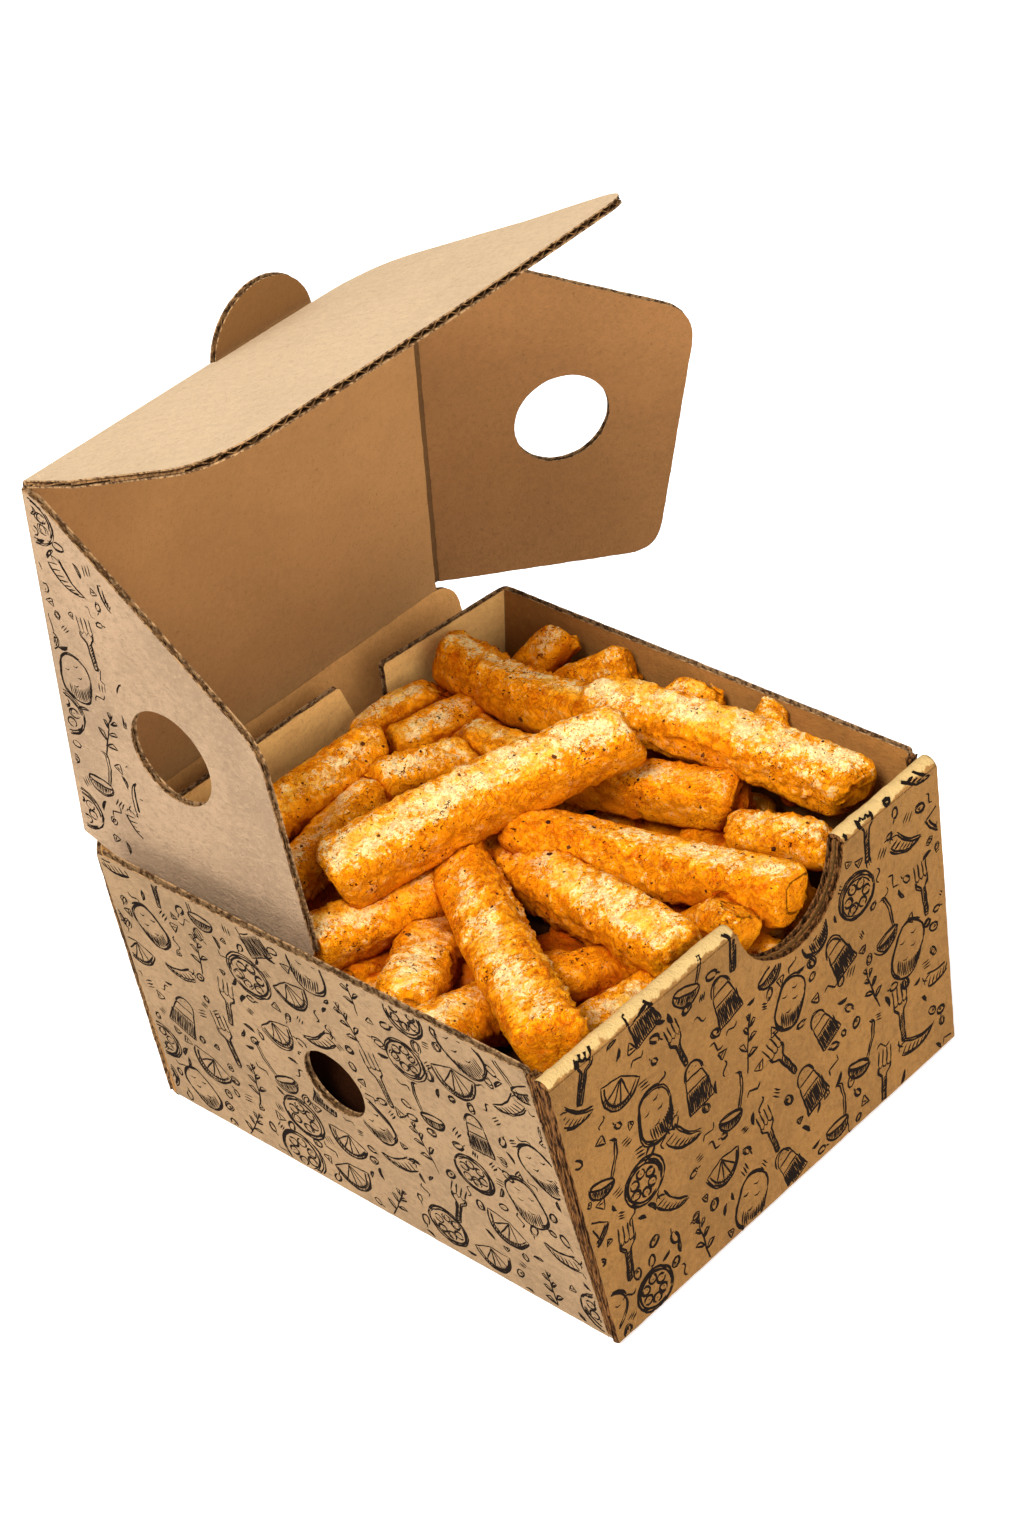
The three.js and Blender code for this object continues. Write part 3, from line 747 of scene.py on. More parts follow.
def tray_folds():
    for side, name, rear, top in (
        (-1, "left", LEFT_REAR_Y, RELIEF_Z), (1, "right", RIGHT_REAR_Y, TRAY_HEIGHT),
    ):
        up, out = side_axes(side)
        x = side * (HALF_WIDTH - HALF)
        ends = [np.array([x, y, HALF]) for y in (BOARD - HALF_DEPTH, HALF_DEPTH - 0.4)]
        fold(name + "_bottom_fold", ends, (-side * X, -Z), (up, out), TRAY, 20 + side, gap=1.0)
        rear_top = HALF_DEPTH + (rear - HALF_DEPTH) * top / TRAY_HEIGHT
        ends = [
            np.array([side * (wall_x(1) - HALF), HALF_DEPTH - HALF, 1.2]),
            np.array([side * (wall_x(top) - HALF), rear_top - HALF, top]),
        ]
        fold(name + "_rear_fold", ends, (-Y, out), (-side * X, Y), TRAY, 24 + side)
    for name, y, inset, floor, wall, materials, gap, seed in (
        ("front_bottom_fold", HALF - HALF_DEPTH, 0.2, Y, (FRONT_UP, FRONT_NORMAL), FRONT, 1.0, 28),
        ("back_bottom_fold", BACK_FOOT_Y, 0.4, -Y, (BACK_UP, BACK_NORMAL), TRAY, 0.9, 30),
    ):
        ends = [np.array([x, y, HALF]) for x in (inset - HALF_WIDTH, HALF_WIDTH - inset)]
        fold(name, ends, (floor, -Z), wall, materials, seed, gap=gap)


# ---- The lid ----
def build_lid():
    top = LID_LENGTH - FOLD_GAP
    left, right = LID_LEFT + FOLD_GAP, LID_RIGHT - FOLD_GAP
    outline = np.concatenate([
        [(left, FOLD_GAP), (right, FOLD_GAP), (right, top - LID_DROP)],
        circle(THUMB_X, top, TAB_RADIUS, 0, pi, 28),
        [(left, top)],
    ])
    gentle = lambda x, y: 0.25 * np.sin(0.05 * x + 0.6) * np.sin(pi * y / LID_LENGTH)
    panel = board("lid_panel", [outline], flat_sheet(HINGE, X, LID_UP, gentle), "y", -1, LID, 12, "lid_body")
    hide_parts("lid")
    hole = circle(HOLE_V, HOLE_U, HOLE_RADIUS)
    folds = []
    for name, side, angle, edge_x, corners, materials, crease, body, seed, low, high in (
        ("left_flap", -1, LEFT_FLAP_FOLD, LID_LEFT,
         [(FOLD_GAP, FOLD_GAP), (9, -1.2, 1), (33, 0, 1), (64.2, 2.8, 1.5), (55.4, 50.6, 6),
          (4, LID_LENGTH - 1.6, 1), (FOLD_GAP, top)],
         LID, LID, "lid_body", 13, FOLD_GAP, LID_LENGTH - 1),
        ("right_flap", 1, RIGHT_FLAP_FOLD, LID_RIGHT,
         [(FOLD_GAP, 1), (51.2, -5.2, 7), (62, 54.2, 8), (14, 79.4, 8), (FOLD_GAP, top - LID_DROP)],
         RIGHT_FLAP, CREASE, "right_flap_body", 14, 1.2, LID_LENGTH - LID_DROP - 1.2),
    ):
        line = HINGE + edge_x * X
        across = side * cos(angle) * X + sin(angle) * LID_INWARD
        sheet = flat_sheet(line, across, LID_UP)
        panel = board(name, [rounded(corners), hole], sheet, "y", -side, materials, seed, body)
        ends = [line + low * LID_UP, line + high * LID_UP]
        bend = (line, "lid_body", body) if side > 0 else None
        sides = (-side * X, -LID_INWARD), (across, -side * np.cross(across, LID_UP))
        folds.append((name + "_fold", ends, *sides, crease, 33 + side, "lid_body", FOLD_GAP, bend))
    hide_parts("right_lid_flap")
    ends = [HINGE + (LID_LEFT + 0.6) * X, HINGE + (LID_RIGHT - 0.6) * X]
    sides = (-BACK_UP, BACK_NORMAL), (LID_UP, -LID_INWARD)
    bend = HINGE, "tray_body", "lid_body"
    folds.append(("hinge_fold", ends, *sides, LID, 36, "lid_body", FOLD_GAP, bend))
    for crease in folds:
        fold(*crease)


def build_tuck():
    slot = TAB_RADIUS + 0.8
    outline = rounded([
        (LID_LEFT, FOLD_GAP), (THUMB_X - slot, FOLD_GAP), (THUMB_X - slot, TUCK_SLOT),
        (THUMB_X + slot, TUCK_SLOT), (38.8, TUCK_SLOT, 13), (47.5, 44), (56.5, TUCK_LENGTH - 4, 10),
        (10, TUCK_LENGTH, 30), (-55.6, TUCK_LENGTH - 2.5, 15), (-54.2, 22),
    ])
    across = cos(TUCK_FOLD) * LID_UP + sin(TUCK_FOLD) * LID_INWARD
    arch = lambda x, y: -0.5 * np.sin(pi * np.clip(y / TUCK_LENGTH, 0, 1)) * np.cos(x / 38)
    sheet = flat_sheet(LID_FOLD, X, across, arch)
    panel = board("tuck_panel_board", [outline], sheet, "y", -1, TUCK, 15, "tuck_body")
    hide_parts("tuck_panel")
    ends = [LID_FOLD + (LID_LEFT + 0.4) * X, LID_FOLD + (THUMB_X - slot - 0.3) * X]
    sides = (-LID_UP, -LID_INWARD), (across, -np.cross(X, across))
    fold("tuck_fold", ends, *sides, TUCK, 38, "tuck_body", bend=(LID_FOLD, "lid_body", "tuck_body"))


# ---- Print ----
# A motif is a list of pen strokes, each a row of (x, y) in a box about 14 mm high round the middle.
INK_WIDTH = 0.84
WALL_PEN, FLAP_PEN = 0.72, 0.6  # the print is finer on the sides and the flaps
INK_RISE, INK_FOOT = 0.05, -0.03
MOTIF_SPACING, BIT_SPACING = 13.8, 4.5
MOTIF_ROOM, BIT_ROOM = 5.6, 1.9
FLAP_PRINT = 19.0  # how far the print runs on over the lid's side flaps


def arc(x, y, radius_x, radius_y, start=0.0, end=360.0, steps=14):
    angles = np.radians(np.linspace(start, end, steps))
    return np.stack([x + radius_x * np.cos(angles), y + radius_y * np.sin(angles)], 1)


def hatch(x0, x1, count, low, high, lean=0.6):
    """Short parallel strokes between the curves low(x) and high(x)."""
    return [[(x, low(x)), (x + lean, high(x))] for x in np.linspace(x0, x1, count)]


def potato():
    outline = arc(0, 0, 5.2, 6.6, steps=22)
    outline[:, 0] += 0.9 * np.sin(outline[:, 1] * 0.42)
    eyes = [arc(x, y, 0.9, 0.5, 200, 350, 5) for x, y in ((-1.6, 2.6), (1.8, 0.6), (-0.8, -1.8), (2.0, 3.6))]
    shade = hatch(-3.6, 3.6, 13, lambda x: -6.0 + 0.13 * x * x, lambda x: -2.8 + 0.12 * x * x)
    return [outline, outline[3:15] + 0.35, *eyes, *shade]


def fork():
    tines = [[(x, 7.2), (x + 0.1, 3.2)] for x in (-2.1, -0.7, 0.7, 2.1)]
    head = [(-2.1, 3.2), (-2, 1.6), (-0.7, 0.4), (-0.55, -7), (0.55, -7), (0.7, 0.4), (2, 1.6), (2.1, 3.2)]
    webs = [arc(x, 3.3, 0.7, 0.9, 180, 360, 6) for x in (-1.4, 0, 1.4)]
    return [*tines, head, *webs, *([(-0.3, y), (0.35, y + 0.9)] for y in np.arange(-6.4, -0.6, 0.7))]


def shaker():
    body = [(-2.6, 2.4), (-3.9, -6.2), (3.9, -6.2), (2.6, 2.4), (-2.6, 2.4)]
    holes = [arc(x, y, 0.3, 0.3, steps=6) for x, y in ((-1, 4.0), (0.1, 4.8), (1.1, 3.9))]
    shade = hatch(-3.5, 3.1, 14, lambda x: -6.0, lambda x: -0.9, 0.5)
    return [body, arc(0, 2.4, 2.7, 3.4, 0, 180, 10), *holes, [(-3.0, -0.4), (3.0, -0.4)], *shade]


def tomato():
    strokes = [arc(0, 0, 6, 5.6, steps=22), arc(0.1, 0, 5.2, 4.8, 20, 330, 18)]
    for angle in range(0, 360, 60):
        x, y = 3.0 * cos(radians(angle)), 2.8 * sin(radians(angle))
        strokes.append(arc(x, y, 1.35, 1.2, angle, angle + 330, 9))
        strokes.append(arc(x, y, 0.35, 0.35, steps=5))
        strokes.append(arc(0, 0, 5.6, 5.2, angle, angle + 26, 6))
    return strokes


def chilli():
    t = np.linspace(0, 1, 9)
    spine = np.stack([-4.5 + 9.5 * t, 4.2 - 9.4 * t + 6.5 * t * t], 1)
    wide = (1.9 * (1 - t) ** 0.6 + 0.1)[:, None] * (0.55, 0.83)
    shade = [[a, a + (b - a) * 0.7] for a, b in zip(spine[:8] - wide[:8], spine[1:] + wide[1:])]
    stem, cap = [(-4.6, 4.4), (-5.6, 5.6), (-5.2, 7.0)], arc(-4.4, 4.4, 1.7, 0.9, 30, 210, 6)
    return [spine + wide, spine - wide, stem, cap, *shade]


def sprig():
    strokes = [[(0.8, -7), (0.1, -3), (0, 0), (-0.4, 3.5), (0, 6.4)]]
    for y, side in ((-3.6, 1), (-2.0, -1), (0.0, 1), (1.6, -1), (3.2, 1), (4.4, -1)):
        reach = side * (3.2 - 0.22 * (y + 4))
        root, tip = (0.0, y), (reach, y + 1.6)
        strokes += [[root, (0.5 * reach, y + 2.0), tip], [root, (0.5 * reach, y + 0.5), tip], [root, tip]]
    return strokes


def ladle():
    handle = np.array([(2.6, -2.8), (3.4, 2.4), (2.8, 6.4), (1.4, 6.8)])
    shade = hatch(-3.0, 2.6, 12, lambda x: -6.5 + 0.16 * x * x, lambda x: -4.1, 0.3)
    bowl, lip = arc(0, -3.4, 3.9, 3.4, 180, 360, 12), arc(0, -3.4, 3.9, 1.0, steps=12)
    return [bowl, lip, handle, handle + (0.7, 0.1), *shade]


def wedge():
    rind, pith = arc(0, 3, 6, 7.6, 190, 350, 14), arc(0, 3, 5.1, 6.6, 195, 345, 12)
    spokes = [[(0, 2.8), at] for at in ((-3.4, -1.8), (-1.2, -3.4), (1.2, -3.4), (3.4, -1.8))]
    shade = hatch(-4.2, 3.8, 15, lambda x: -4.4 + 0.12 * x * x, lambda x: -2.9 + 0.12 * x * x, 0.2)
    return [rind, pith, [(-5.9, 1.7), (0, 3.2), (5.9, 1.7)], *spokes, *shade]


MOTIFS = (potato, fork, tomato, shaker, chilli, sprig, ladle, wedge)
BITS = (  # the small marks that fill the gaps
    [arc(0, 0, 1.1, 0.8, steps=9), arc(0.2, 0, 0.4, 0.3, steps=5)],
    [arc(0, 0, 0.8, 1.3, 60, 400, 8), [(0, 1.2), (0.4, 2.2)]],
    [[(-1.2, -0.7), (0, 1.1), (1.2, -0.7), (-1.2, -0.7)], [(-0.4, -0.4), (0.3, 0.3)]],
    [[(-1.8, 0), (-0.9, 0.8), (0, 0), (0.9, -0.8), (1.8, 0)]],
    [[(x, -0.9), (x + 0.5, 0.9)] for x in (-0.9, -0.2, 0.5)],
    [arc(0, 0, 1.3, 0.6, 0, 180, 6), arc(0, 0, 1.3, 0.35, 0, 180, 6), [(-1.3, 0), (1.3, 0)]],
)


def pen_line(stroke, pen, rng):
    """A stroke with its corners eased and a slight tremor, as (points, half width at each point)."""
    at = np.concatenate([[0], np.cumsum(np.linalg.norm(np.diff(stroke, axis=0), axis=1))])
    spots = np.linspace(0, at[-1], max(2, int(at[-1] / 0.75)) + 1)
    points = np.stack([np.interp(spots, at, stroke[:, k]) for k in range(2)], 1)
    flat = np.column_stack([points, np.full(len(points), rng.uniform(0, 90))])
    points = points + np.stack([0.2 * grain(flat, 1.7, 3.1), 0.2 * grain(flat, 1.7, 8.2)], 1)
    press = 0.5 * pen * (0.85 + 0.5 * grain(flat, 2.4, 5.5))
    press[0] *= 0.5
    press[-1] *= 0.4
    return points, np.clip(press, 0.06, 0.48)


def add_ridge(build, points, press, place):
    """A low ridge of ink along a pen line."""
    tangent = units(np.gradient(points, axis=0))
    normal = press[:, None] * np.stack([-tangent[:, 1], tangent[:, 0]], 1)
    sides = (points + normal, INK_FOOT), (points - normal, INK_FOOT), (points, INK_RISE)
    ring = np.stack([place(*side.T, lift) for side, lift in sides], 1).reshape(-1, 3)
    quads, ends = tube(len(points), 3)
    a, b, c, ahead = ring[:4]
    build.add(ring, flipped(ends + quads, np.cross(b - a, c - a) @ (ahead - a) > 0))


def print_field(name, size, place, allowed, body, seed, pen=INK_WIDTH):
    """Motifs over a field from (x0, y0) to (x1, y1), with small marks between them. A stroke is broken
    off where allowed says that there is no card."""
    rng = np.random.default_rng(seed)
    build = Build()
    (x0, y0), (x1, y1) = size

    def draw(motif, centre, scale, swing):
        turn = scale * rotation(radians(rng.uniform(-swing, swing)))
        for stroke in motif():
            for again in range(2 if len(stroke) > 6 else 1):
                drift = 0.28 * again * rng.normal(size=2)
                points, press = pen_line(np.asarray(stroke) @ turn + centre + drift, pen, rng)
                fits = np.flatnonzero(allowed(points))
                for run in np.split(fits, np.flatnonzero(np.diff(fits) > 1) + 1):
                    if len(run) > 1:
                        add_ridge(build, points[run], press[run], place)

    taken = []
    order = int(rng.integers(0, len(MOTIFS)))
    rows = np.arange(y0 + 0.35 * MOTIF_SPACING, y1 + 0.45 * MOTIF_SPACING, 0.87 * MOTIF_SPACING)
    for r, y in enumerate(rows):
        shift = 0.5 * MOTIF_SPACING * (r % 2) + rng.uniform(-2, 2)
        for x in np.arange(x0 + shift, x1 + 0.4 * MOTIF_SPACING, MOTIF_SPACING):
            centre = np.array([x, y]) + rng.uniform(-1.6, 1.6, 2)
            draw(MOTIFS[order % len(MOTIFS)], centre, rng.uniform(0.82, 1.0), 30)
            taken.append((centre, MOTIF_ROOM))
            order += 3 if rng.random() < 0.7 else 2
    for _ in range(int(12 * (x1 - x0) * (y1 - y0) / BIT_SPACING ** 2)):
        centre = np.array([rng.uniform(x0, x1), rng.uniform(y0, y1)])
        if all(np.linalg.norm(centre - other) > room + 1.0 for other, room in taken):
            draw(lambda: BITS[int(rng.integers(0, len(BITS)))], centre, rng.uniform(0.8, 1.3), 180)
            taken.append((centre, BIT_ROOM))
    build.make(name + "_print", [INK], body)


def within(loops, margin=0.7, step=0.4):
    """A test of whether points lie inside an outline with holes, clear of its edges."""
    everything = np.concatenate(loops)
    low, high = everything.min(0), everything.max(0)
    columns, rows = (np.arange(low[k], high[k] + step, step) for k in range(2))
    spots = np.stack(np.meshgrid(columns, rows, indexing="ij"), 2).reshape(-1, 2)
    clear = inside(loops, spots) & (edge_distance(loops, spots) > margin)
    clear = clear.reshape(len(columns), len(rows))

    def test(points):
        cell = np.round((points - low) / step).astype(int)
        known = (cell >= 0).all(1) & (cell < clear.shape).all(1)
        cell = np.clip(cell, 0, np.array(clear.shape) - 1)
        return known & clear[cell[:, 0], cell[:, 1]]

    return test


def on_front(x, height, lift):
    """The front wall's outer face, and over the rolled rim for heights above the roll's start."""
    top = FRONT_TOP - ROLL
    flat = front_sheet(0)(x, np.minimum(height, top), lift)
    angle = np.clip((height - top) / ROLL, 0, 1.9)
    reach = ROLL + lift
    y = front_y(TRAY_HEIGHT) + ROLL - reach * np.cos(angle)
    rolled = np.stack([x, y, TRAY_HEIGHT - ROLL + reach * np.sin(angle)], 1)
    return np.where((height > top)[:, None], rolled, flat)


def on_front_card(points):
    x, height = points.T
    clear = np.hypot(x - THUMB_X, height - FRONT_TOP) > NOTCH_RADIUS + 0.8
    return clear & (np.abs(x) < wall_x(height) - 0.9) & (height > 1) & (height < FRONT_TOP + 0.4)


def build_print():
    for name, size, body, seed, pen in (
        ("left_wall", ((-60, 2), (62, 67)), "tray_body", 101, WALL_PEN),
        ("right_wall", ((-60, 2), (62, 67)), "tray_body", 102, WALL_PEN),
        ("back_wall", ((-54, 2), (54, 62)), "tray_body", 103, WALL_PEN),
        ("lid_panel", ((-49, 3), (50, 84)), "lid_body", 104, WALL_PEN),
        ("left_flap", ((1, 3), (FLAP_PRINT, 82)), "lid_body", 105, FLAP_PEN),
        ("right_flap", ((1, 3), (FLAP_PRINT, 82)), "right_flap_body", 106, FLAP_PEN),
    ):
        loops, sheet, outer = PANELS[name]
        card = within(loops)
        strip = lambda p: card(p) & (p[:, 0] < FLAP_PRINT + 1.5 * np.sin(0.4 * p[:, 1]))
        place = lambda x, y, lift: sheet(x, y, outer * (HALF + lift))
        print_field(name, size, place, strip if "flap" in name else card, body, seed, pen)
    print_field("front", ((-54, 2), (54, FRONT_TOP - 1)), on_front, on_front_card, "tray_body", 107)


# ---- Fries ----
FRIES = [  # width, one end, other end: the same fries as in the solids
    (12.8, (-33, 13, 70), (21, -8, 75)), (11.2, (0, -1, 64), (17, -53, 59)),
    (12.0, (36, 8, 68), (45, -45, 64)), (11.6, (32, 47, 67), (34, 15, 65)),
    (13.0, (-10, 8, 60), (-44, -49, 65)), (12.2, (-2, 6, 55), (-9, -46, 60)),
    (10.6, (17, 27, 62), (32, -24, 60)), (14.4, (-21, 5, 49), (-46, -12, 56)),
    (11.2, (-44, 12, 60), (-20, 5, 58)), (11.6, (-38, 46, 64), (-2, 42, 65)),
    (10.2, (-43, 30, 60), (-10, 35, 61)), (10.2, (8, 41, 61), (29, 38, 60)),
    (9.4, (11, 51, 61), (23, 47, 63)), (9.0, (49, 34, 66), (41, 40, 56)),
    (10.6, (49, 17, 65), (40, 30, 57)), (10.0, (50, -4, 66), (39, 4, 56)),
    (8.4, (51, -21, 66), (48, -31, 56)), (10.0, (28, -34, 57), (31, -50, 60)),
    (9.2, (36, -25, 54), (27, -20, 50)), (11.6, (3, -41, 51), (5, -50, 59)),
    (11.0, (-23, -29, 54), (-7, -35, 50)), (10.0, (-38, -41, 53), (-15, -46, 53)),
    (12.0, (-48, -24, 57), (-30, -24, 52)), (10.0, (-42, 8, 50), (-25, 8, 46)),
    (10.4, (7, -1, 46), (16, -31, 47)), (10.2, (10, -43, 47), (26, -49, 48)),
    (10.4, (35, 18, 55), (45, -12, 49)), (9.8, (-3, 33, 63), (10, 26, 63)),
    (9.8, (6, 36, 58), (24, 33, 58)), (10.2, (-33, 32, 52), (-16, 34, 52)),
]
GROUPS = (  # name, first fry, last fry, points round a fry, spacing along it
    ("fries_top", 0, 12, 64, 0.66), ("fries_middle", 12, 30, 46, 0.8), ("fries_under", 30, 44, 26, 1.4),
)
FILLER_FRIES, FILLER_Z = 14, 44
SHORT_FRY = 25  # shorter ones have rounder ends
HEAP_CLEARANCE = 0.5
SHELTER_REACH = 20.0  # fries farther off than this shut nothing in
LID_SHADE = 0.22  # painted shade: how much browner and darker the fries at the back are painted, as the lid shades them
FLAKE_SPACING = 70  # one flake for about this many points of a fry


def seeded_random(state):
    """The same run of numbers as the solids use."""
    while True:
        state = (state * 1664525 + 1013904223) % 4294967296
        yield state / 4294967296


def filler_fries():
    draw = seeded_random(11)
    made = []
    for i in range(FILLER_FRIES):
        column, row = (i % 4) / 3 - 0.5, (i // 4) / 3 - 0.5
        x = 62 * column + 10 * (next(draw) - 0.5)
        y = 76 * row + 10 * (next(draw) - 0.5)
        z = FILLER_Z + 4 * next(draw)
        heading = pi * next(draw)
        reach = 19 + 5 * next(draw)
        dx, dy = reach * cos(heading), reach * sin(heading)
        dz = 3 * (next(draw) - 0.5)
        made.append((10.5 + 2 * next(draw), (x - dx, y - dy, z - dz), (x + dx, y + dy, z + dz)))
    return made


def keep_in_tray(points):
    """Presses points that would pass through card back to its inner face."""
    x, y, z = points.T
    low_z = np.minimum(z, TRAY_HEIGHT)
    side = wall_x(np.maximum(z, 0)) - BOARD - HEAP_CLEARANCE
    rear = HALF_DEPTH + (np.where(x < 0, LEFT_REAR_Y, RIGHT_REAR_Y) - HALF_DEPTH) * low_z / TRAY_HEIGHT
    y = np.minimum(y, rear - BOARD - 1.2)
    y = np.maximum(y, front_y(low_z) + FRONT_THICKNESS + 0.8)
    swing = np.clip((y + 12) / 5, 0, 1)
    left = side + (-RELIEF_X + 0.5 - side) * swing * swing * (3 - 2 * swing)
    return np.stack([np.clip(x, -left, side), y, z], 1)


def vertex_normals(points, quads):
    quads = np.array(quads)
    a, b, c, d = (points[quads[:, k]] for k in range(4))
    normals = np.zeros_like(points)
    for k in range(4):
        np.add.at(normals, quads[:, k], np.cross(c - a, d - b))
    return units(normals)


def fry_form(width, start, end, seed, around, step):
    """One fry: its points, faces and normals, and for each point how far it stands out and how near it
    is to an edge."""
    rng = np.random.default_rng(seed)
    start, end = np.array(start, float), np.array(end, float)
    length = np.linalg.norm(end - start)
    short = length < SHORT_FRY
    half = width / 2
    cap = 0.75 * half
    rounding = half * (rng.uniform(0.36, 0.56) + 0.12 * short)
    profile = [(-cap + 0.3, 0.0), (-cap + 0.1, 0.28), (-cap, 0.5), (-cap + 0.05, 0.66)]
    profile += [(-cap + rounding * (1 - cos(a)), 1 - rounding / half * (1 - sin(a)))
                for a in np.linspace(0.3, pi / 2, 6)]
    rows = np.linspace(0, length, max(4, int(length / step)) + 1)[1:-1]
    tail = [(length - z, scale) for z, scale in profile[::-1]]
    stations = profile + [(z, 1.0) for z in rows if profile[-1][0] + 0.4 < z < tail[0][0] - 0.4] + tail
    bend = rng.uniform(-0.035, 0.035, 2) * length
    taper, twist = rng.uniform(-0.07, 0.07), rng.uniform(-0.3, 0.3)
    skew = rng.uniform(-0.3, 0.3, 2)
    roll = rng.uniform(-0.45, 0.45)
    flat = rng.uniform(0.93, 1.05)
    power = rng.uniform(2.9, 4.3) - 0.6 * short
    rough_side = rng.uniform(0, TURN)
    angles = np.linspace(0, TURN, around, endpoint=False)
    section = np.stack([np.cos(angles), np.sin(angles)], 1)
    ring = (np.abs(section) ** power).sum(1) ** (-1 / power)
    section = ring[:, None] * section * half * (1, flat)
    corner = (ring - 1) / (ring.max() - 1)
    turn = np.array(Vector((0, 0, 1)).rotation_difference(Vector(unit(end - start))).to_matrix())
    points, edge = [], []
    for z, scale in stations:
        along = 2 * z / length - 1
        turned = section @ rotation(roll + twist * along * 0.5)
        flatness = np.clip(abs(along) - 0.9, 0, 1) * 4
        xy = turned * scale * (1 + taper * along) + bend * (1 - along * along)
        points.append(np.column_stack([xy, z + (turned @ skew) * scale * flatness]) @ turn.T + start)
        from_end = min(z + cap, length + cap - z)
        edge.append(np.maximum(corner, exp(-from_end / 2.2)))
    points = np.concatenate(points)
    rough = np.tile(np.clip(0.5 + np.cos(angles - rough_side), 0, 1) ** 2, len(stations))
    quads, ends = tube(len(stations), around, ((0, 0), (0, 1), (1, 1), (1, 0)))
    lumps, knobs, crust = grain(points, 12, seed), grain(points, 4.5, seed + 7), grain(points, 1.9, seed + 13)
    crumbs = np.maximum(0, grain(points, 1.3, seed + 19) - 0.1)
    pits = np.maximum(0, grain(points, 2.6, seed + 23) - 0.3)
    folds = np.exp(-(grain(points, 3.6, seed + 29) / 0.09) ** 2)
    lift = 0.45 * lumps + 0.2 * knobs + 0.14 * crust - 0.5 * pits - 0.22 * folds - 0.1
    lift += (0.22 + rough) * (0.25 * knobs + 0.34 * crust + 1.3 * crumbs)
    points = keep_in_tray(points + vertex_normals(points, quads) * lift[:, None])
    crest = np.clip(0.5 + 0.5 * knobs + 0.5 * crust - 0.8 * pits - 0.4 * folds, 0, 1)
    return points, quads + flipped(ends), vertex_normals(points, quads), crest, np.concatenate(edge)


def shelter(forms):
    """For each form, how far each point is shut in by the fries round it, from 0 to 1."""
    points, faces = [], []
    for form in forms:
        faces += [tuple(i + len(points) for i in face) for face in form[1]]
        points += form[0].tolist()
    tree = BVHTree.FromPolygons(points, faces)
    sky = []
    for height, count, start in ((0.35, 6, 0.2), (0.7, 4, 0.7), (0.95, 2, 0.0)):
        flat = sqrt(1 - height * height)
        for k in range(count):
            angle = start + TURN * k / count
            sky.append(Vector((flat * cos(angle), flat * sin(angle), height)))

    def hidden(point, normal):
        normal = Vector(normal)
        origin = Vector(point) + 0.35 * normal
        stopped = lambda ray: tree.ray_cast(origin, ray, SHELTER_REACH)[0] is not None
        return sum(ray.dot(normal) < -0.2 or stopped(ray) for ray in sky) / len(sky)

    return [np.array([hidden(*pair) for pair in zip(form[0], form[2])]) for form in forms]


def build_fries():
    everything = list(enumerate(FRIES + filler_fries()))
    forms = [
        fry_form(*fry, 40 + k, around, step)
        for _, first, last, around, step in GROUPS for k, fry in everything[first:last]
    ]
    closed_in = shelter(forms)
    rng = np.random.default_rng(8)
    for name, first, last, _, _ in GROUPS:
        build = Build("crest", "edge", "shelter", "tone")
        for (points, faces, _, crest, edge), hidden in list(zip(forms, closed_in))[first:last]:
            tone = np.full(len(points), rng.uniform())
            # painted shade: the lid's shade over the back of the heap is added to the occlusion
            hidden = np.clip(hidden + LID_SHADE * np.clip((points[:, 1] - 5) / 30, 0, 1), 0, 1)
            build.add(points, faces, 0, True, crest=crest, edge=edge, shelter=hidden, tone=tone)
        build.make(name, [FRIED], "tray_body", "fried_potato")
    build_core()
    build_flakes(forms, closed_in)
    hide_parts("fries")


def build_flakes(forms, closed_in):
    """Loose flakes of spice and crumbs of crust on the fries that show."""
    rng = np.random.default_rng(5)
    build = Build()
    for (points, _, normals, *_), hidden in list(zip(forms, closed_in))[:len(FRIES)]:
        bare = np.flatnonzero((hidden < 0.6) & (normals[:, 2] > 0.1))
        if len(bare) == 0:
            continue
        for index in rng.choice(bare, max(1, len(bare) // FLAKE_SPACING)):
            size = rng.uniform(0.18, 0.5) * (1.7 if rng.random() < 0.1 else 1.0)
            add_flake(build, points[index], normals[index], size, int(rng.integers(0, 3)), rng)
    build.make("seasoning_flakes", [HERB, PEPPER, CRUMB], "tray_body", "fried_potato")


def add_flake(build, at, normal, size, slot, rng):
    """An uneven chip with five sides and a peak."""
    side = unit(np.cross(normal, rng.normal(size=3)))
    other = np.cross(normal, side)
    stretch = rng.uniform(0.5, 1.0)
    points, faces = [], []
    for k in range(5):
        angle = TURN * k / 5 + rng.uniform(-0.3, 0.3)
        reach = size * rng.uniform(0.7, 1.2)
        points.append(at + reach * (cos(angle) * side + stretch * sin(angle) * other) + 0.02 * normal)
        faces += [(k, (k + 1) % 5, 5), ((k + 1) % 5, k, 6)]
    points += [at + normal * size * rng.uniform(0.3, 0.55), at - normal * 0.15]
    build.add(np.array(points), faces, slot)


def build_core():
    """The closed mass under the fries."""
    side, front, back, foot, edge_z, crown_z = 47.0, -52.0, 54.0, 2.2, 42.0, 48.5
    columns, rows = 40, 46
    steps = np.linspace(-1, 1, columns + 1), np.linspace(-1, 1, rows + 1)
    u, v = (axis.ravel() for axis in np.meshgrid(*steps))
    x, y = side * u, (front + back) / 2 + (back - front) / 2 * v
    inward = (1 - u ** 2) * (1 - v ** 2)
    top = np.stack([x, y, edge_z + (crown_z - edge_z) * np.minimum(1, 1.6 * inward)], 1)
    top[:, 2] += 1.6 * grain(top, 9, 3) + 0.9 * grain(top, 3.5, 4) - 1.0
    bottom = np.stack([x, y, np.full(len(x), foot)], 1)
    size = columns + 1
    quads = [(at + size, at + 1 + size, at + 1, at) for at in range(rows * size) if at % size < columns]
    layers = slab(np.array(quads), len(top))
    build = Build().add(np.concatenate([top, bottom]), sum(layers, []), smooth=True)
    build.make("fries_core", [SHADED_FRY], "tray_body", "fried_potato")


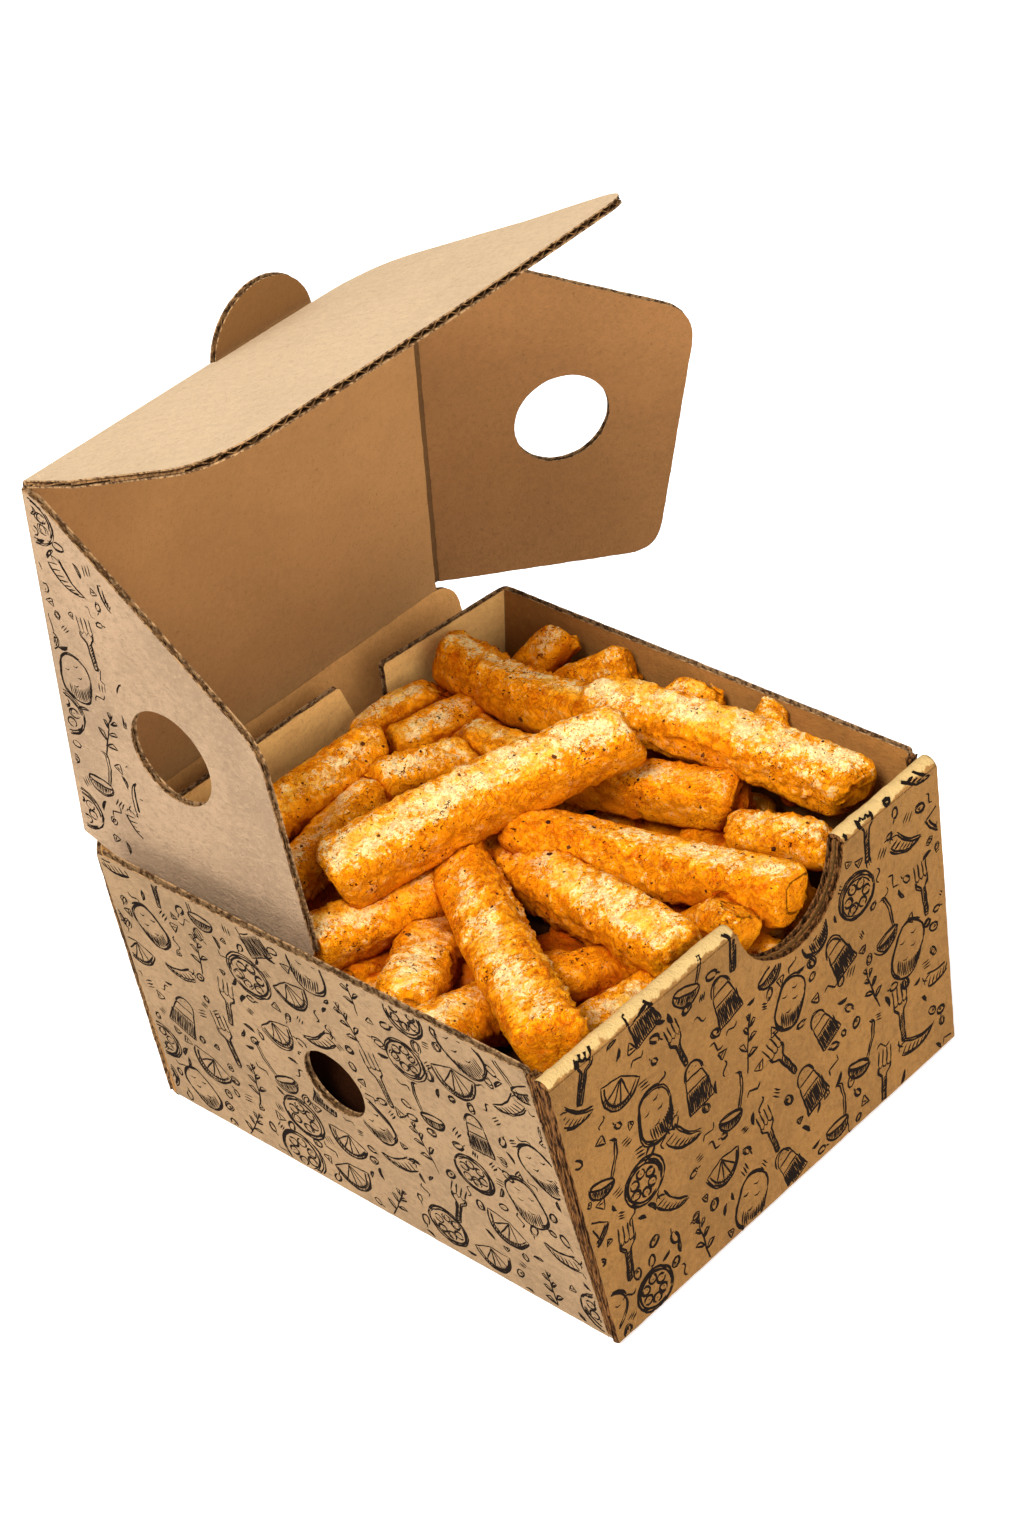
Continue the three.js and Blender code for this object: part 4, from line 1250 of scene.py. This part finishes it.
# ---- Stage ----
FLOOR_SIZE = 14.0
CAMERA_AT = (-361.7, -411.0, 478.2)
CAMERA_TURN = (-41.7, 36.8, -9.7)  # azimuth, elevation and roll, in degrees
FOCAL_PIXELS, CENTRE = 3479.7, (532.0, 805.2)
PHOTO = (1024, 1536)
SENSOR = 36.0


def build_stage():
    bpy.ops.mesh.primitive_plane_add(size=FLOOR_SIZE, location=(0, 0, -0.0002))
    floor = bpy.context.object
    floor.name = "studio_floor"
    s = Shader("studio_floor")
    s.color = (0.9, 0.9, 0.9, 1.0)
    put(s.surface, Emission_Color=(1.0, 1.0, 1.0, 1.0), Emission_Strength=0.45)
    floor.data.materials.append(s.finish(0.9, 0.1))
    world = bpy.data.worlds.new("studio")
    bpy.context.scene.world = world
    world.use_nodes = True
    put(world.node_tree.nodes["Background"], Color=(1, 1, 1, 1), Strength=0.68)
    lamp("key", (-1.7, -0.5, 2.7), 1.0, 126.0)
    lamp("fill", (-0.75, -2.1, 1.15), 1.2, 24.0)


def lamp(name, at, size, power):
    light = bpy.data.lights.new(name, "AREA")
    light.size = size
    light.energy = power
    piece = add_object(name, light)
    piece.location = at
    piece.rotation_euler = (Vector((0, 0, 0.07)) - Vector(at)).to_track_quat("-Z", "Y").to_euler()


def build_camera():
    azimuth, elevation, roll = map(radians, CAMERA_TURN)
    flat = cos(elevation)
    back = Vector((sin(azimuth) * flat, -cos(azimuth) * flat, sin(elevation)))
    level = (-back).cross(Vector((0, 0, 1))).normalized()
    upright = level.cross(-back)
    right = cos(roll) * level + sin(roll) * upright
    up = -sin(roll) * level + cos(roll) * upright
    turn = Matrix((right, up, back)).transposed().to_4x4()
    data = bpy.data.cameras.new("camera")
    data.sensor_fit = "HORIZONTAL"
    data.sensor_width = SENSOR
    data.lens = SENSOR * FOCAL_PIXELS / PHOTO[0]
    data.shift_x = (PHOTO[0] / 2 - CENTRE[0]) / PHOTO[0]
    data.shift_y = (CENTRE[1] - PHOTO[1] / 2) / PHOTO[0]
    data.clip_start, data.clip_end = 0.01, 20
    camera = add_object("camera", data)
    camera.matrix_world = Matrix.Translation(Vector(CAMERA_AT) * MM) @ turn
    bpy.context.scene.camera = camera


build_tray()
build_lid()
build_tuck()
build_print()
build_fries()
build_stage()
build_camera()
bpy.context.scene.view_settings.view_transform = "Standard"
